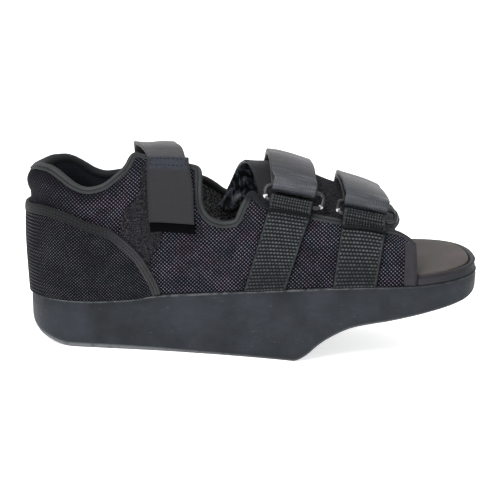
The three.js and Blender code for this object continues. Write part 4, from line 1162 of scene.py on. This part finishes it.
def tape_profile(width, lift, inner_width=None, top=0.0):
    """Profile of a tape folded over the wall's edge, for wrap."""
    inner_width = inner_width or width
    outer = [(width, 1, -0.25), (width, 1, 0.2), (width - 0.35, 1, lift), (width * 0.6, 1, lift + 0.15)]
    outer += [(width * 0.3, 1, lift + 0.05), (0.9, 1, lift)]
    arc = [
        (0.9 - (0.9 + top) * math.sin(turn), math.cos(turn) * 0.98, lift * 0.9)
        for turn in np.linspace(0.25, math.pi - 0.25, 9)
    ]
    inner = [(0.9, -1, lift), (inner_width * 0.5, -1, lift), (inner_width - 0.3, -1, lift * 0.8)]
    return outer + arc + inner + [(inner_width, -1, 0.1), (inner_width, -1, -0.3)]


def stitches(name, paths, pitch, length, radius, look="thread"):
    """Stitches along paths of points with normals: small rounded bars, joined in one mesh."""
    sides, rings = 6, ((-0.5, 0.35), (-0.3, 1), (0.3, 1), (0.5, 0.35))
    turn = np.arange(sides)[:, None] * 2 * math.pi / sides
    points, faces = [], []
    for path, normals in paths:
        lengths = path_lengths(path)

        def value(at, values):
            return np.array([np.interp(at, lengths, column) for column in values.T])

        for at in np.arange(pitch / 2, lengths[-1] - pitch / 2, pitch):
            centre = value(at, path)
            ahead = value(at + 0.6, path) - centre
            ahead = ahead / np.linalg.norm(ahead)
            out = value(at, normals)
            out = unit(out - ahead * out.dot(ahead))
            ring = radius * (np.cos(turn) * np.cross(ahead, out) + np.sin(turn) * out)
            faces.append(loop_faces(len(rings), sides, len(points) * sides))
            for along, size in rings:
                dip = -radius * 1.2 * (2 * along) ** 2
                points.append(centre + ahead * along * length + out * dip + ring * size)
    piece(name, np.concatenate(points), np.concatenate(faces)[:, ::-1], [look])


def edge_line(way, height, depth, lift, turned=1, rise=outer_rise):
    """Points and normals of a line that keeps its depth in from an edge."""
    step_way, step_height = inward(way, height, turned)
    at_way, at_height = way + step_way * depth, height + step_height * depth
    return wall_point(at_way, at_height, rise(at_way, at_height) + lift), wall_normal(at_way, at_height)


def make_bindings():
    way, height = rim_path(EDGES, OPEN_ENDS, 1.0, 3)
    lengths = path_lengths(wall_surface(way, height))
    near = way < 0
    hidden = np.interp([-x * SOLE_LENGTH for x in HIDDEN_EDGE], -x_of_way(way[near]), lengths[near])
    look = binding_look("edge_binding", (0.013, 0.0145, 0.015), (0.032, 0.035, 0.0355), BINDING_GROOVES,
                        (*hidden, 4, (0.0035, 0.0038, 0.005)), True)
    wrap("collar_binding", way, height, tape_profile(BINDING_WIDTH, 0.7), look)
    lines = [edge_line(way, height, BINDING_WIDTH - 0.9, 0.95)]
    width = TOE_BAND_WIDTH
    band = [(width, 1, -0.25), (width, 1, 0.15), (width - 0.4, 1, 0.5)]
    band += [(width * share, 1, 0.55) for share in (0.8, 0.6, 0.45, 0.3)]
    band += tape_profile(2.0, 0.55, 5.0, 0.3)[4:]
    for side, word in SIDES.items():
        end = OPEN_ENDS[side]
        heights = np.linspace(0.5, float(EDGES[side](end)) - 0.3, 40)
        ways = np.full(40, float(way_of_x(end, side)))
        wrap(f"toe_band_{word}", ways, heights, band, "band", -side)
        lines.append(edge_line(ways, heights, width - 1.2, 0.75, -side))
    stitches("binding_stitches", lines, 2.6, 1.9, 0.2)


def make_counter():
    end = COUNTER_EDGE["x"][-1] * SOLE_LENGTH
    way, height = rim_path({side: counter_edge for side in SIDES}, {side: end for side in SIDES}, 1.2, 3)
    keep = height > 1.2
    way, height = way[keep], height[keep]
    ways, heights = shell_grid(way, height, 1.0, 0.6, 44)
    dimple = 0.25 * np.sin(ways / 9) * np.sin(heights / 13)
    outer = wall_point(ways, heights, counter_rise(ways, heights) + dimple)
    inner = wall_point(ways, heights, COUNTER_SEAT + 0 * ways)
    slab("counter_panel", outer, inner, ["counter"], ["heel_counter"],
         cloth=np.stack([cloth_place(outer, ways), cloth_place(inner, ways)]))
    width = COUNTER_BINDING_WIDTH
    profile = [
        (width, 1, -1), (width, 1, 0.1), (width - 0.3, 1, 0.5), (width * 0.76, 1, 0.62),
        (width * 0.66, 1, 0.32), (width * 0.56, 1, 0.66), (width * 0.42, 1, 0.66),
        (width * 0.32, 1, 0.34), (width * 0.22, 1, 0.62), (0.2, 1, 0.35), (0, 1, -0.2),
        (-0.05, 1, -0.9), (0, 1, -1.7), (width * 0.3, 1, -1.7), (width * 0.6, 1, -1.4), (width, 1, -1.2),
    ]
    wrap("counter_binding", way, height, profile, "counter_binding", rise=counter_rise)
    lines = [edge_line(way, height, width * share, 0.6, rise=counter_rise) for share in (0.33, 0.66)]
    stitches("counter_stitches", lines, 2.4, 1.8, 0.2)


def make_patch():
    share, up = np.meshgrid(np.linspace(0, 1, 40), np.linspace(0, 1, 90), indexing="ij")
    front_low, front_top = (PATCH_FRONT + slant for slant in PATCH_FRONT_SLANT)
    back_low, back_top = (PATCH_BACK + slant for slant in PATCH_BACK_SLANT)
    front = lerp(front_low, front_top, smooth(0, 0.45, up)) * SOLE_LENGTH
    back = lerp(back_low, back_top, smooth(0.2, 0.75, up)) * SOLE_LENGTH
    x = lerp(back, front, share)
    height = lerp(counter_edge(x) + PATCH_MARGIN, EDGES[NEAR](x) - BINDING_WIDTH, up)
    way = way_of_x(x, NEAR)
    fuzz = 0.25 * (np.sin(x * 3.1) * np.sin(height * 2.7) + random.normal(0, 0.35, x.shape))
    outer = wall_point(way, height, PATCH_SEAT + PATCH_THICKNESS - 0.3 + fuzz)
    inner = wall_point(way, height, PATCH_SEAT - 0.5 + 0 * x)
    slab("pile_panel", outer, inner, ["patch"], ["pile_patch"])


def make_flap():
    half = np.linspace(0.02, 1, 52)
    share = np.concatenate([np.linspace(0, 0.9, 70), np.linspace(0.91, 1, 26)])
    spread, share = np.meshgrid(np.concatenate([-half[::-1], [0], half]), share)
    near = spread < 0
    wide = np.abs(spread)
    back = FLAP_BACK - np.where(near, FLAP_SWEEPS[NEAR], FLAP_SWEEPS[FAR]) * wide**FLAP_SWEEP_POWER
    peak = FLAP_PEAK_REACH * np.exp(-(((spread - FLAP_PEAK) / FLAP_PEAK_WIDTH) ** 2))
    front = FLAP_FRONT - FLAP_FRONT_SWEEP * wide**2 + peak
    x = lerp(back, front, share) * SOLE_LENGTH
    edge = np.where(near, EDGES[NEAR](x), EDGES[FAR](x))
    low = np.maximum(edge - FLAP_TUCK, FLAP_LEAST_RISE * edge)
    girth = spread * np.where(near, -girth_at_height(x, NEAR, low), girth_at_height(x, FAR, low))
    roll_share = np.clip((share - FLAP_ROLL_START) / (1 - FLAP_ROLL_START), 0, 1)
    fade = np.clip((FLAP_ROLL_END - wide) / (FLAP_ROLL_END - FLAP_ROLL_FULL), 0, 1)
    roll = FLAP_ROLL * np.sin(math.pi * roll_share) ** 0.7 * fade
    puff = 0.5 * np.sin(math.pi * share) * np.cos(girth / 9)
    from_end = np.minimum(share, 1 - share) * (front - back) * SOLE_LENGTH
    rounded = np.sqrt(np.clip(1 - np.clip(1 - from_end / 1.3, 0, 1) ** 2, 0.02, 1))
    thick = FLAP_THICKNESS / 2 * rounded
    middle = -WALL - 2 * CLEARANCE - FLAP_THICKNESS / 2 + puff
    crinkle = np.sin(girth / 2.3 + 1.5 * np.sin(x / 4)) * np.sin(x / 2.9 + girth / 7)
    outer = instep_point(x, girth, middle + thick + roll)
    inner = instep_point(x, girth, middle - thick - roll - CRINKLE * crinkle * smooth(0, 0.1, share))
    # The band along the back edge and the front end take flap_band, darker than the pile: partly the bands'
    # own tone, partly painted shade beside the rear strap.
    plain = (x - back * SOLE_LENGTH < FLAP_BAND) | (share > FLAP_END_BAND)
    cloth = np.stack([x, girth, 0 * x], -1)
    flap = slab("instep_padding", outer, inner, ["pile", "flap_band", "flap_lining"],
                ["instep_flap"], (plain[:-1, :-1].ravel(), 2, 1), np.stack([cloth, cloth]))


# Straps, webbing and rings
YARN_TONES = random.uniform(0.86, 1.0, (40, 16))


def ring_frame(fastening):
    """A ring's middle, axes and place, and how much the last's surface stretches there."""
    x = fastening["ring"] * SOLE_LENGTH
    girth = float(girth_at_height(x, NEAR, fastening["rise"] * CREST_RISE))
    turn = RING_WIRE / 2 + RING_PLAY + STRAP_THICKNESS / 2
    lift = STRAP_SEAT + STRAP_THICKNESS / 2 + turn
    centre, ahead, behind, above, below = instep_point(
        np.array([x, x + 8, x - 8, x, x]), np.array([girth] * 3 + [girth + 4, girth - 4]), lift
    )
    along = unit(ahead - behind)
    across = unit((above - below) - along * (above - below).dot(along))
    return {"x": x, "girth": girth, "turn": turn, "centre": centre, "along": along, "across": across,
            "out": np.cross(along, across), "stretch": float(np.linalg.norm(ahead - behind)) / 16}


def ring_point(ring, along, across, out):
    along, across, out = np.broadcast_arrays(along, across, out)
    point = ring["centre"] + along[..., None] * ring["along"]
    return point + across[..., None] * ring["across"] + out[..., None] * ring["out"]


def wrap_rows(ring, bar, ws):
    """Rows round a ring's bar, from under it to over it, and the first one past it."""
    rows = []
    for turn in np.linspace(-math.pi / 2, math.pi / 2, 9):
        across = bar * (RING_BAR_GAP / 2 - ring["turn"] * math.cos(turn))
        rows.append(ring_point(ring, ws, across, ring["turn"] * math.sin(turn)))
    rows.append(ring_point(ring, ws, bar * (RING_BAR_GAP / 2 + BAR_LEAD), ring["turn"]))
    return rows


def strip_profile(width, thickness, columns):
    """Loop round a strip: places across it and shares of its half thickness."""
    edge = thickness * 0.45
    half = width / 2 - edge
    ws = np.linspace(-half, half, columns)
    turn = np.linspace(-math.pi / 2, math.pi / 2, 5)[1:-1]
    right = [(half + edge * math.cos(t), -math.sin(t)) for t in turn]
    left = [(-half - edge * math.cos(t), math.sin(t)) for t in turn]
    return np.array([(w, 1) for w in ws] + right + [(w, -1) for w in ws[::-1]] + left).T


def make_strip(name, rows_at, width, thickness, look, replaces, per_mm=0.9, columns=24,
               face=None, mark=None):
    """A bent strip through rows of middle points. face lifts its flat sides by place in mm."""
    ws, sides = strip_profile(width, thickness, columns)
    order = np.argsort(ws, kind="stable")
    dense, lengths = spline(np.stack(rows_at(ws[order])), per_mm)
    normals = grid_normals(dense)
    back = np.argsort(order, kind="stable")
    along, across = np.broadcast_arrays(lengths[:, None], ws[None, :])
    lift = face(along, across, lengths[-1]) * (np.abs(sides) > 0.9) if face else 0 * along
    points = dense[:, back] + normals[:, back] * (sides * (thickness / 2 + lift))[..., None]
    marked = mark(along, lengths[-1]) if mark else np.clip(lift / RIB_DEPTH, 0, 1)
    faces = loop_faces(*points.shape[:2])[:, ::-1]
    piece(name, points, faces, [look], replaces, cloth=np.stack([along, across, marked], -1))


def end_stitches(name, rows_at, width, lift, downs, last=True, look="thread"):
    """Two rows of stitches across the end of a strip and one down each of its sides."""
    half = width / 2 - 2.2
    columns = 24
    dense, _ = spline(np.stack(rows_at(np.linspace(-half, half, columns))), 1.0)
    if last:
        dense = dense[::-1]
    normals = grid_normals(dense)
    outwards = dense.mean(1) - [SOLE_LENGTH / 2, 0, 60]
    normals = normals * np.sign((normals[:, columns // 2] * outwards).sum())
    first, second = (int(round(down)) for down in downs)
    paths = [(dense[row] + normals[row] * lift, normals[row]) for row in (first, second)]
    for column in (0, -1):
        edge = normals[first:second + 1, column]
        paths.append((dense[first:second + 1, column] + edge * lift, edge))
    stitches(name, paths, 2.5, 1.8, 0.22, look)


def strap_rows(fastening):
    ring = ring_frame(fastening)
    under = STRAP_SEAT + STRAP_THICKNESS / 2
    over = under + STRAP_THICKNESS + CLEARANCE
    crest_x, sole_x = fastening["crest"] * SOLE_LENGTH, fastening["sole"] * SOLE_LENGTH
    bar = ring["girth"] + RING_BAR_GAP / 2
    far_full = float(full_girth(sole_x, FAR))

    def rows_at(ws):
        def on_skin(girth, offset):
            foot, reach = (ring["x"], bar) if girth < 0 else (sole_x, far_full)
            centre = lerp(crest_x, foot, np.clip(girth / reach, 0, 1))
            drawn_in = smooth(34, 6, abs(girth - bar)) * (1 - 1 / ring["stretch"])
            return instep_point(centre + ws * (1 - drawn_in), girth, offset)

        far_end = far_full - STRAP_FAR_FOOT
        rows = [on_skin(far_end * share, under) for share in np.linspace(1, 0, 44)]
        rows += [on_skin(bar * share, under) for share in np.linspace(0, 1, 26)[1:-1]]
        rows += wrap_rows(ring, 1, ws)
        rows += [on_skin(bar + past, over + lift) for past, lift in zip(*STRAP_LANDING.values())]
        rows += [on_skin(girth, over) for girth in np.linspace(bar + STRAP_DOUBLED, STRAP_FREE_END, 30)]
        return rows

    return rows_at


def make_straps():
    for name, fastening in FASTENINGS.items():
        doubled = STRAP_FREE_END - ring_frame(fastening)["girth"] - RING_BAR_GAP / 2 + 3

        def at_ring(along, length, doubled=doubled):
            left = length - along
            ringed = smooth(doubled - 11, doubled - 5, left) * smooth(doubled + 12, doubled + 9, left)
            # Below 0 where the strap lies under its own end, which the strap's look paints near black as
            # shade.
            under = smooth(doubled + 9, doubled + 12, left) * smooth(2 * doubled - 26, 2 * doubled - 36, left)
            return ringed - under

        rows = strap_rows(fastening)
        make_strip(f"strap_tape_{name}", rows, STRAP_SHOWN_WIDTH, STRAP_THICKNESS, "strap",
                   [f"strap_{name}"], mark=at_ring)
        end_stitches(f"strap_end_stitches_{name}", rows, STRAP_WIDTH, STRAP_THICKNESS / 2 + 0.1,
                     END_STITCH_ROWS, last=False)


def ribs(along, across, length):
    """Cross ribs of yarn bumps, set off from row to row, and a plain stretch next to the ring."""
    row = np.floor(along / RIB_PITCH)
    place = across / YARN_PITCH + 0.5 * (row % 2)
    ridge = np.abs(np.sin(math.pi * along / RIB_PITCH)) ** 0.9
    ribbed = ridge * (0.62 + 0.38 * (0.5 + 0.5 * np.cos(2 * math.pi * place)))
    fine = 0.5 + 0.5 * np.sin(2.0 * (along + across)) * np.sin(2.0 * (along - across))
    from_end = length - along
    relief = lerp(ribbed, 0.55, 0.45 * smooth(24, 8, along))
    relief = lerp(relief, fine, smooth(WEBBING_FOLD + 13, WEBBING_FOLD + 11, from_end))
    relief = lerp(relief, 0.66, smooth(WEBBING_WIDTH / 2 - 2.2, WEBBING_WIDTH / 2 - 1.4, np.abs(across)))
    # The ribs sink at the fold, and as the webbing's colour follows their height this paints shade along the
    # fold.
    fold = np.exp(-(((from_end - WEBBING_FOLD) / 0.7) ** 2))
    yarn_tone = YARN_TONES[row.astype(int) % 40, np.round(place).astype(int) % 16]
    return RIB_DEPTH * relief * (1 - 0.7 * fold) * yarn_tone


def webbing_rows(fastening):
    ring = ring_frame(fastening)
    under = STRAP_SEAT + WEBBING_THICKNESS / 2
    over = under + WEBBING_THICKNESS + CLEARANCE
    bar = ring["girth"] - RING_BAR_GAP / 2
    sole_x = fastening["sole"] * SOLE_LENGTH
    length = float(full_girth(sole_x, NEAR)) + bar

    def rows_at(ws):
        def on_skin(share, offset):
            x = lerp(sole_x, ring["x"], share) + ws
            foot = 2 * CLEARANCE - full_girth(x, NEAR)
            return instep_point(x, lerp(foot, bar, share), offset)

        rows = [on_skin(share, under) for share in np.linspace(0, 1, 26)[:-1]]
        rows += wrap_rows(ring, -1, ws)
        for part, lift in zip(*WEBBING_RETURN.values()):
            rows.append(on_skin(1 - part * fastening["sewn"] / length, over + lift))
        return rows

    return rows_at


def make_webbing():
    for name, fastening in FASTENINGS.items():
        make_strip(f"webbing_tape_{name}", webbing_rows(fastening), WEBBING_WIDTH, WEBBING_THICKNESS,
                   "webbing", [f"webbing_{name}"], 2.6, 64, face=ribs)


def make_rings():
    half, straight = RING_BAR_GAP / 2, RING_LENGTH / 2 - RING_BAR_GAP / 2
    wire = RING_WIRE / 2
    turn = np.linspace(-math.pi / 2, math.pi / 2, 17)
    bars = np.linspace(-1, 1, 14)[1:-1]
    end_along = half * np.abs(np.cos(turn)) ** RING_SQUARENESS
    end_across = half * np.sign(turn) * np.abs(np.sin(turn)) ** RING_SQUARENESS
    along = np.concatenate([straight + end_along, -bars * straight, -straight - end_along, bars * straight])
    across = np.concatenate([end_across, half + 0 * bars, -end_across, -half + 0 * bars])
    flow = unit(np.stack([np.roll(way, -1) - np.roll(way, 1) for way in (along, across)], -1))
    along, across = along[:, None], across[:, None]
    around = np.linspace(0, 2 * math.pi, 16, endpoint=False)
    side = wire * np.cos(around)
    out = wire * np.sin(around) + 0 * along
    rows, cols = out.shape
    faces = grid_faces(rows + 1, cols, closed=True) % (rows * cols)
    for name, fastening in FASTENINGS.items():
        points = ring_point(ring_frame(fastening), along + RING_SLIDE + flow[:, 1:] * side,
                            across - flow[:, :1] * side, out)
        # Painted highlights on the ring's ends.
        glint = 0 * out
        for at, low, reach, shine in RING_GLINTS[name]:
            far = ((along - at) ** 2 + (across - low) ** 2 + (out - 0.7) ** 2) / reach**2
            glint = np.maximum(glint, shine * np.exp(-far))
        cloth = np.stack(np.broadcast_arrays(along, across, glint), -1)
        piece(f"loop_{name}", points, faces, ["ring"], [f"ring_{name}"], cloth=cloth)


# Ankle strap
ankle_near = float(girth_at_height(ANKLE_NEAR_X * SOLE_LENGTH, NEAR, ANKLE_NEAR_RISE))
ankle_tab = float(girth_at_height(ANKLE_TAB_X * SOLE_LENGTH, NEAR, ANKLE_TAB_RISE))
ankle_far = float(girth_at_height(ANKLE_FAR_X * SOLE_LENGTH, FAR, ANKLE_FAR_RISE))


def ankle_rows(start, end, steps, offset_at, aside=0.0, crest_shift=0.0, taper=None):
    """Rows of the ankle strap between two girths. taper draws a row in towards its rear edge."""

    def centre(girth):
        if girth > 0:
            return lerp(ANKLE_CREST_X, ANKLE_FAR_X, min(girth / ankle_far, 1)) * SOLE_LENGTH
        if girth > ankle_tab:
            return lerp(ANKLE_CREST_X, ANKLE_TAB_X, girth / ankle_tab) * SOLE_LENGTH
        down = min(max((girth - ankle_tab) / (ankle_near - ankle_tab), 0), 1)
        return lerp(ANKLE_TAB_X, ANKLE_NEAR_X, down) * SOLE_LENGTH

    def rows_at(ws):
        girths = np.linspace(start, end, steps)
        bend = np.where(girths < 0, np.exp(-((girths / ANKLE_BEND) ** 2)), 1)
        shifts = ANKLE_SHIFT + crest_shift * bend - ANKLE_FAR_SHIFT * smooth(0, 16, girths)
        narrowed = taper(girths) if taper else 0 * girths
        return [
            instep_point(centre(girth) + shift + lerp(ws + aside, -ANKLE_HALF, part), girth, offset_at(girth))
            for girth, shift, part in zip(girths, shifts, narrowed)
        ]

    return rows_at


def ankle_offset(girth):
    """Offset of the ankle strap's middle, which rises where it lies on the hook tape."""
    lift = CLEARANCE + PATCH_THICKNESS + HOOK_THICKNESS
    return STRAP_SEAT + STRAP_THICKNESS / 2 + lift * min(max((-girth - ANKLE_FREE) / ANKLE_FREE, 0), 1)


def sagging_offset(girth):
    return ankle_offset(girth) - ANKLE_SAG * math.exp(-((girth / ANKLE_SAG_WIDTH) ** 4))


def ankle_waist(girths):
    return ANKLE_WAIST_DEPTH * np.exp(-(((girths - ANKLE_WAIST) / ANKLE_WAIST_WIDTH) ** 2))


def make_ankle_strap():
    strap = ankle_rows(ankle_near, ankle_far, 40, sagging_offset, crest_shift=ANKLE_CREST_SHIFT,
                       taper=ankle_waist)
    tab = ankle_rows(ankle_near - 0.4, ankle_near + TAB_LENGTH, 30,
                     lambda girth: ankle_offset(girth) + 0.6, TAB_SHIFT,
                     taper=lambda girths: 0.1 * smooth(girths[-1] - 22, girths[-1], girths))
    hook_start = ankle_near - HOOK_OVERHANG
    hook_offset = 2 * CLEARANCE + 0.5 + PATCH_THICKNESS + HOOK_THICKNESS / 2
    hook = ankle_rows(hook_start, hook_start + HOOK_LENGTH, 8, lambda girth: hook_offset, HOOK_SHIFT)
    make_strip("ankle_tape", strap, STRAP_WIDTH, STRAP_THICKNESS, "ankle", ["ankle_strap"])
    make_strip("ankle_tab", tab, TAB_WIDTH, TAB_THICKNESS, "tab", [],
               mark=lambda along, length: smooth(length - 11, length - 8, along))
    end_stitches("ankle_tab_stitches", tab, TAB_WIDTH, 0.75, TAB_STITCH_ROWS, look="dark_thread")
    end_stitches("ankle_end_stitches", strap, STRAP_WIDTH, STRAP_THICKNESS / 2 + 0.1, END_STITCH_ROWS)
    make_strip("hook_strip", hook, HOOK_WIDTH, HOOK_THICKNESS, "hook", ["ankle_hook"], 1.5)


# Stage, lights and camera
def add(name, data):
    obj = bpy.data.objects.new(name, data)
    bpy.context.scene.collection.objects.link(obj)
    return obj


def make_floor():
    half = FLOOR_HALF
    corners = [(-half, -half, 0), (half, -half, 0), (half, half, 0), (-half, half, 0)]
    mesh = bpy.data.meshes.new("floor")
    mesh.from_pydata(corners, [], [(0, 1, 2, 3)])
    look = Look("floor", 0.6)
    look.colour((0.95, 0.95, 0.95))
    look.set("Emission Color", (1, 1, 1))
    look.set("Emission Strength", FLOOR_GLOW)
    mesh.materials.append(look.material)
    add("floor", mesh)


def make_world():
    world = bpy.data.worlds.new("soft_sky")
    world.use_nodes = True
    background = world.node_tree.nodes["Background"]
    background.inputs["Color"].default_value = (1, 1, 1, 1)
    background.inputs["Strength"].default_value = SKY_STRENGTH
    bpy.context.scene.world = world


def make_lights():
    for name, setting in LIGHTS.items():
        data = bpy.data.lights.new(name, "AREA")
        data.shape = "RECTANGLE"
        data.size, data.size_y = setting["size"]
        data.energy = setting["power"]
        light = add(name, data)
        light.location = setting["place"]
        light.rotation_mode = "QUATERNION"
        aim = Vector(setting["target"]) - Vector(setting["place"])
        light.rotation_quaternion = aim.to_track_quat("-Z", "Y")


def make_camera():
    data = bpy.data.cameras.new("camera")
    data.lens = CAMERA["lens"]
    data.sensor_width = 36
    data.clip_start, data.clip_end = 0.01, 20
    place = Vector(CAMERA["place"])
    back = (place - Vector(CAMERA["target"])).normalized()
    right = Vector((0, 0, 1)).cross(back).normalized()
    axes = Matrix((right, back.cross(right), back)).transposed().to_4x4()
    camera = add("camera", data)
    roll = Matrix.Rotation(math.radians(CAMERA["roll"]), 4, "Z")
    camera.matrix_world = Matrix.Translation(place) @ axes @ roll
    bpy.context.scene.camera = camera


cross_body("outsole_foam", 2.0, outsole_profile, "sole", "outsole")
cross_body("footbed", 1.5, midsole_profile, "footbed", "midsole")
cross_body("insole_sheet", 2.0, insole_profile, "insole", "insole")
make_quarters()
make_bindings()
make_counter()
make_patch()
make_flap()
make_webbing()
make_rings()
make_straps()
make_ankle_strap()
make_floor()
make_world()
make_lights()
make_camera()
bpy.context.scene.view_settings.view_transform = "Standard"
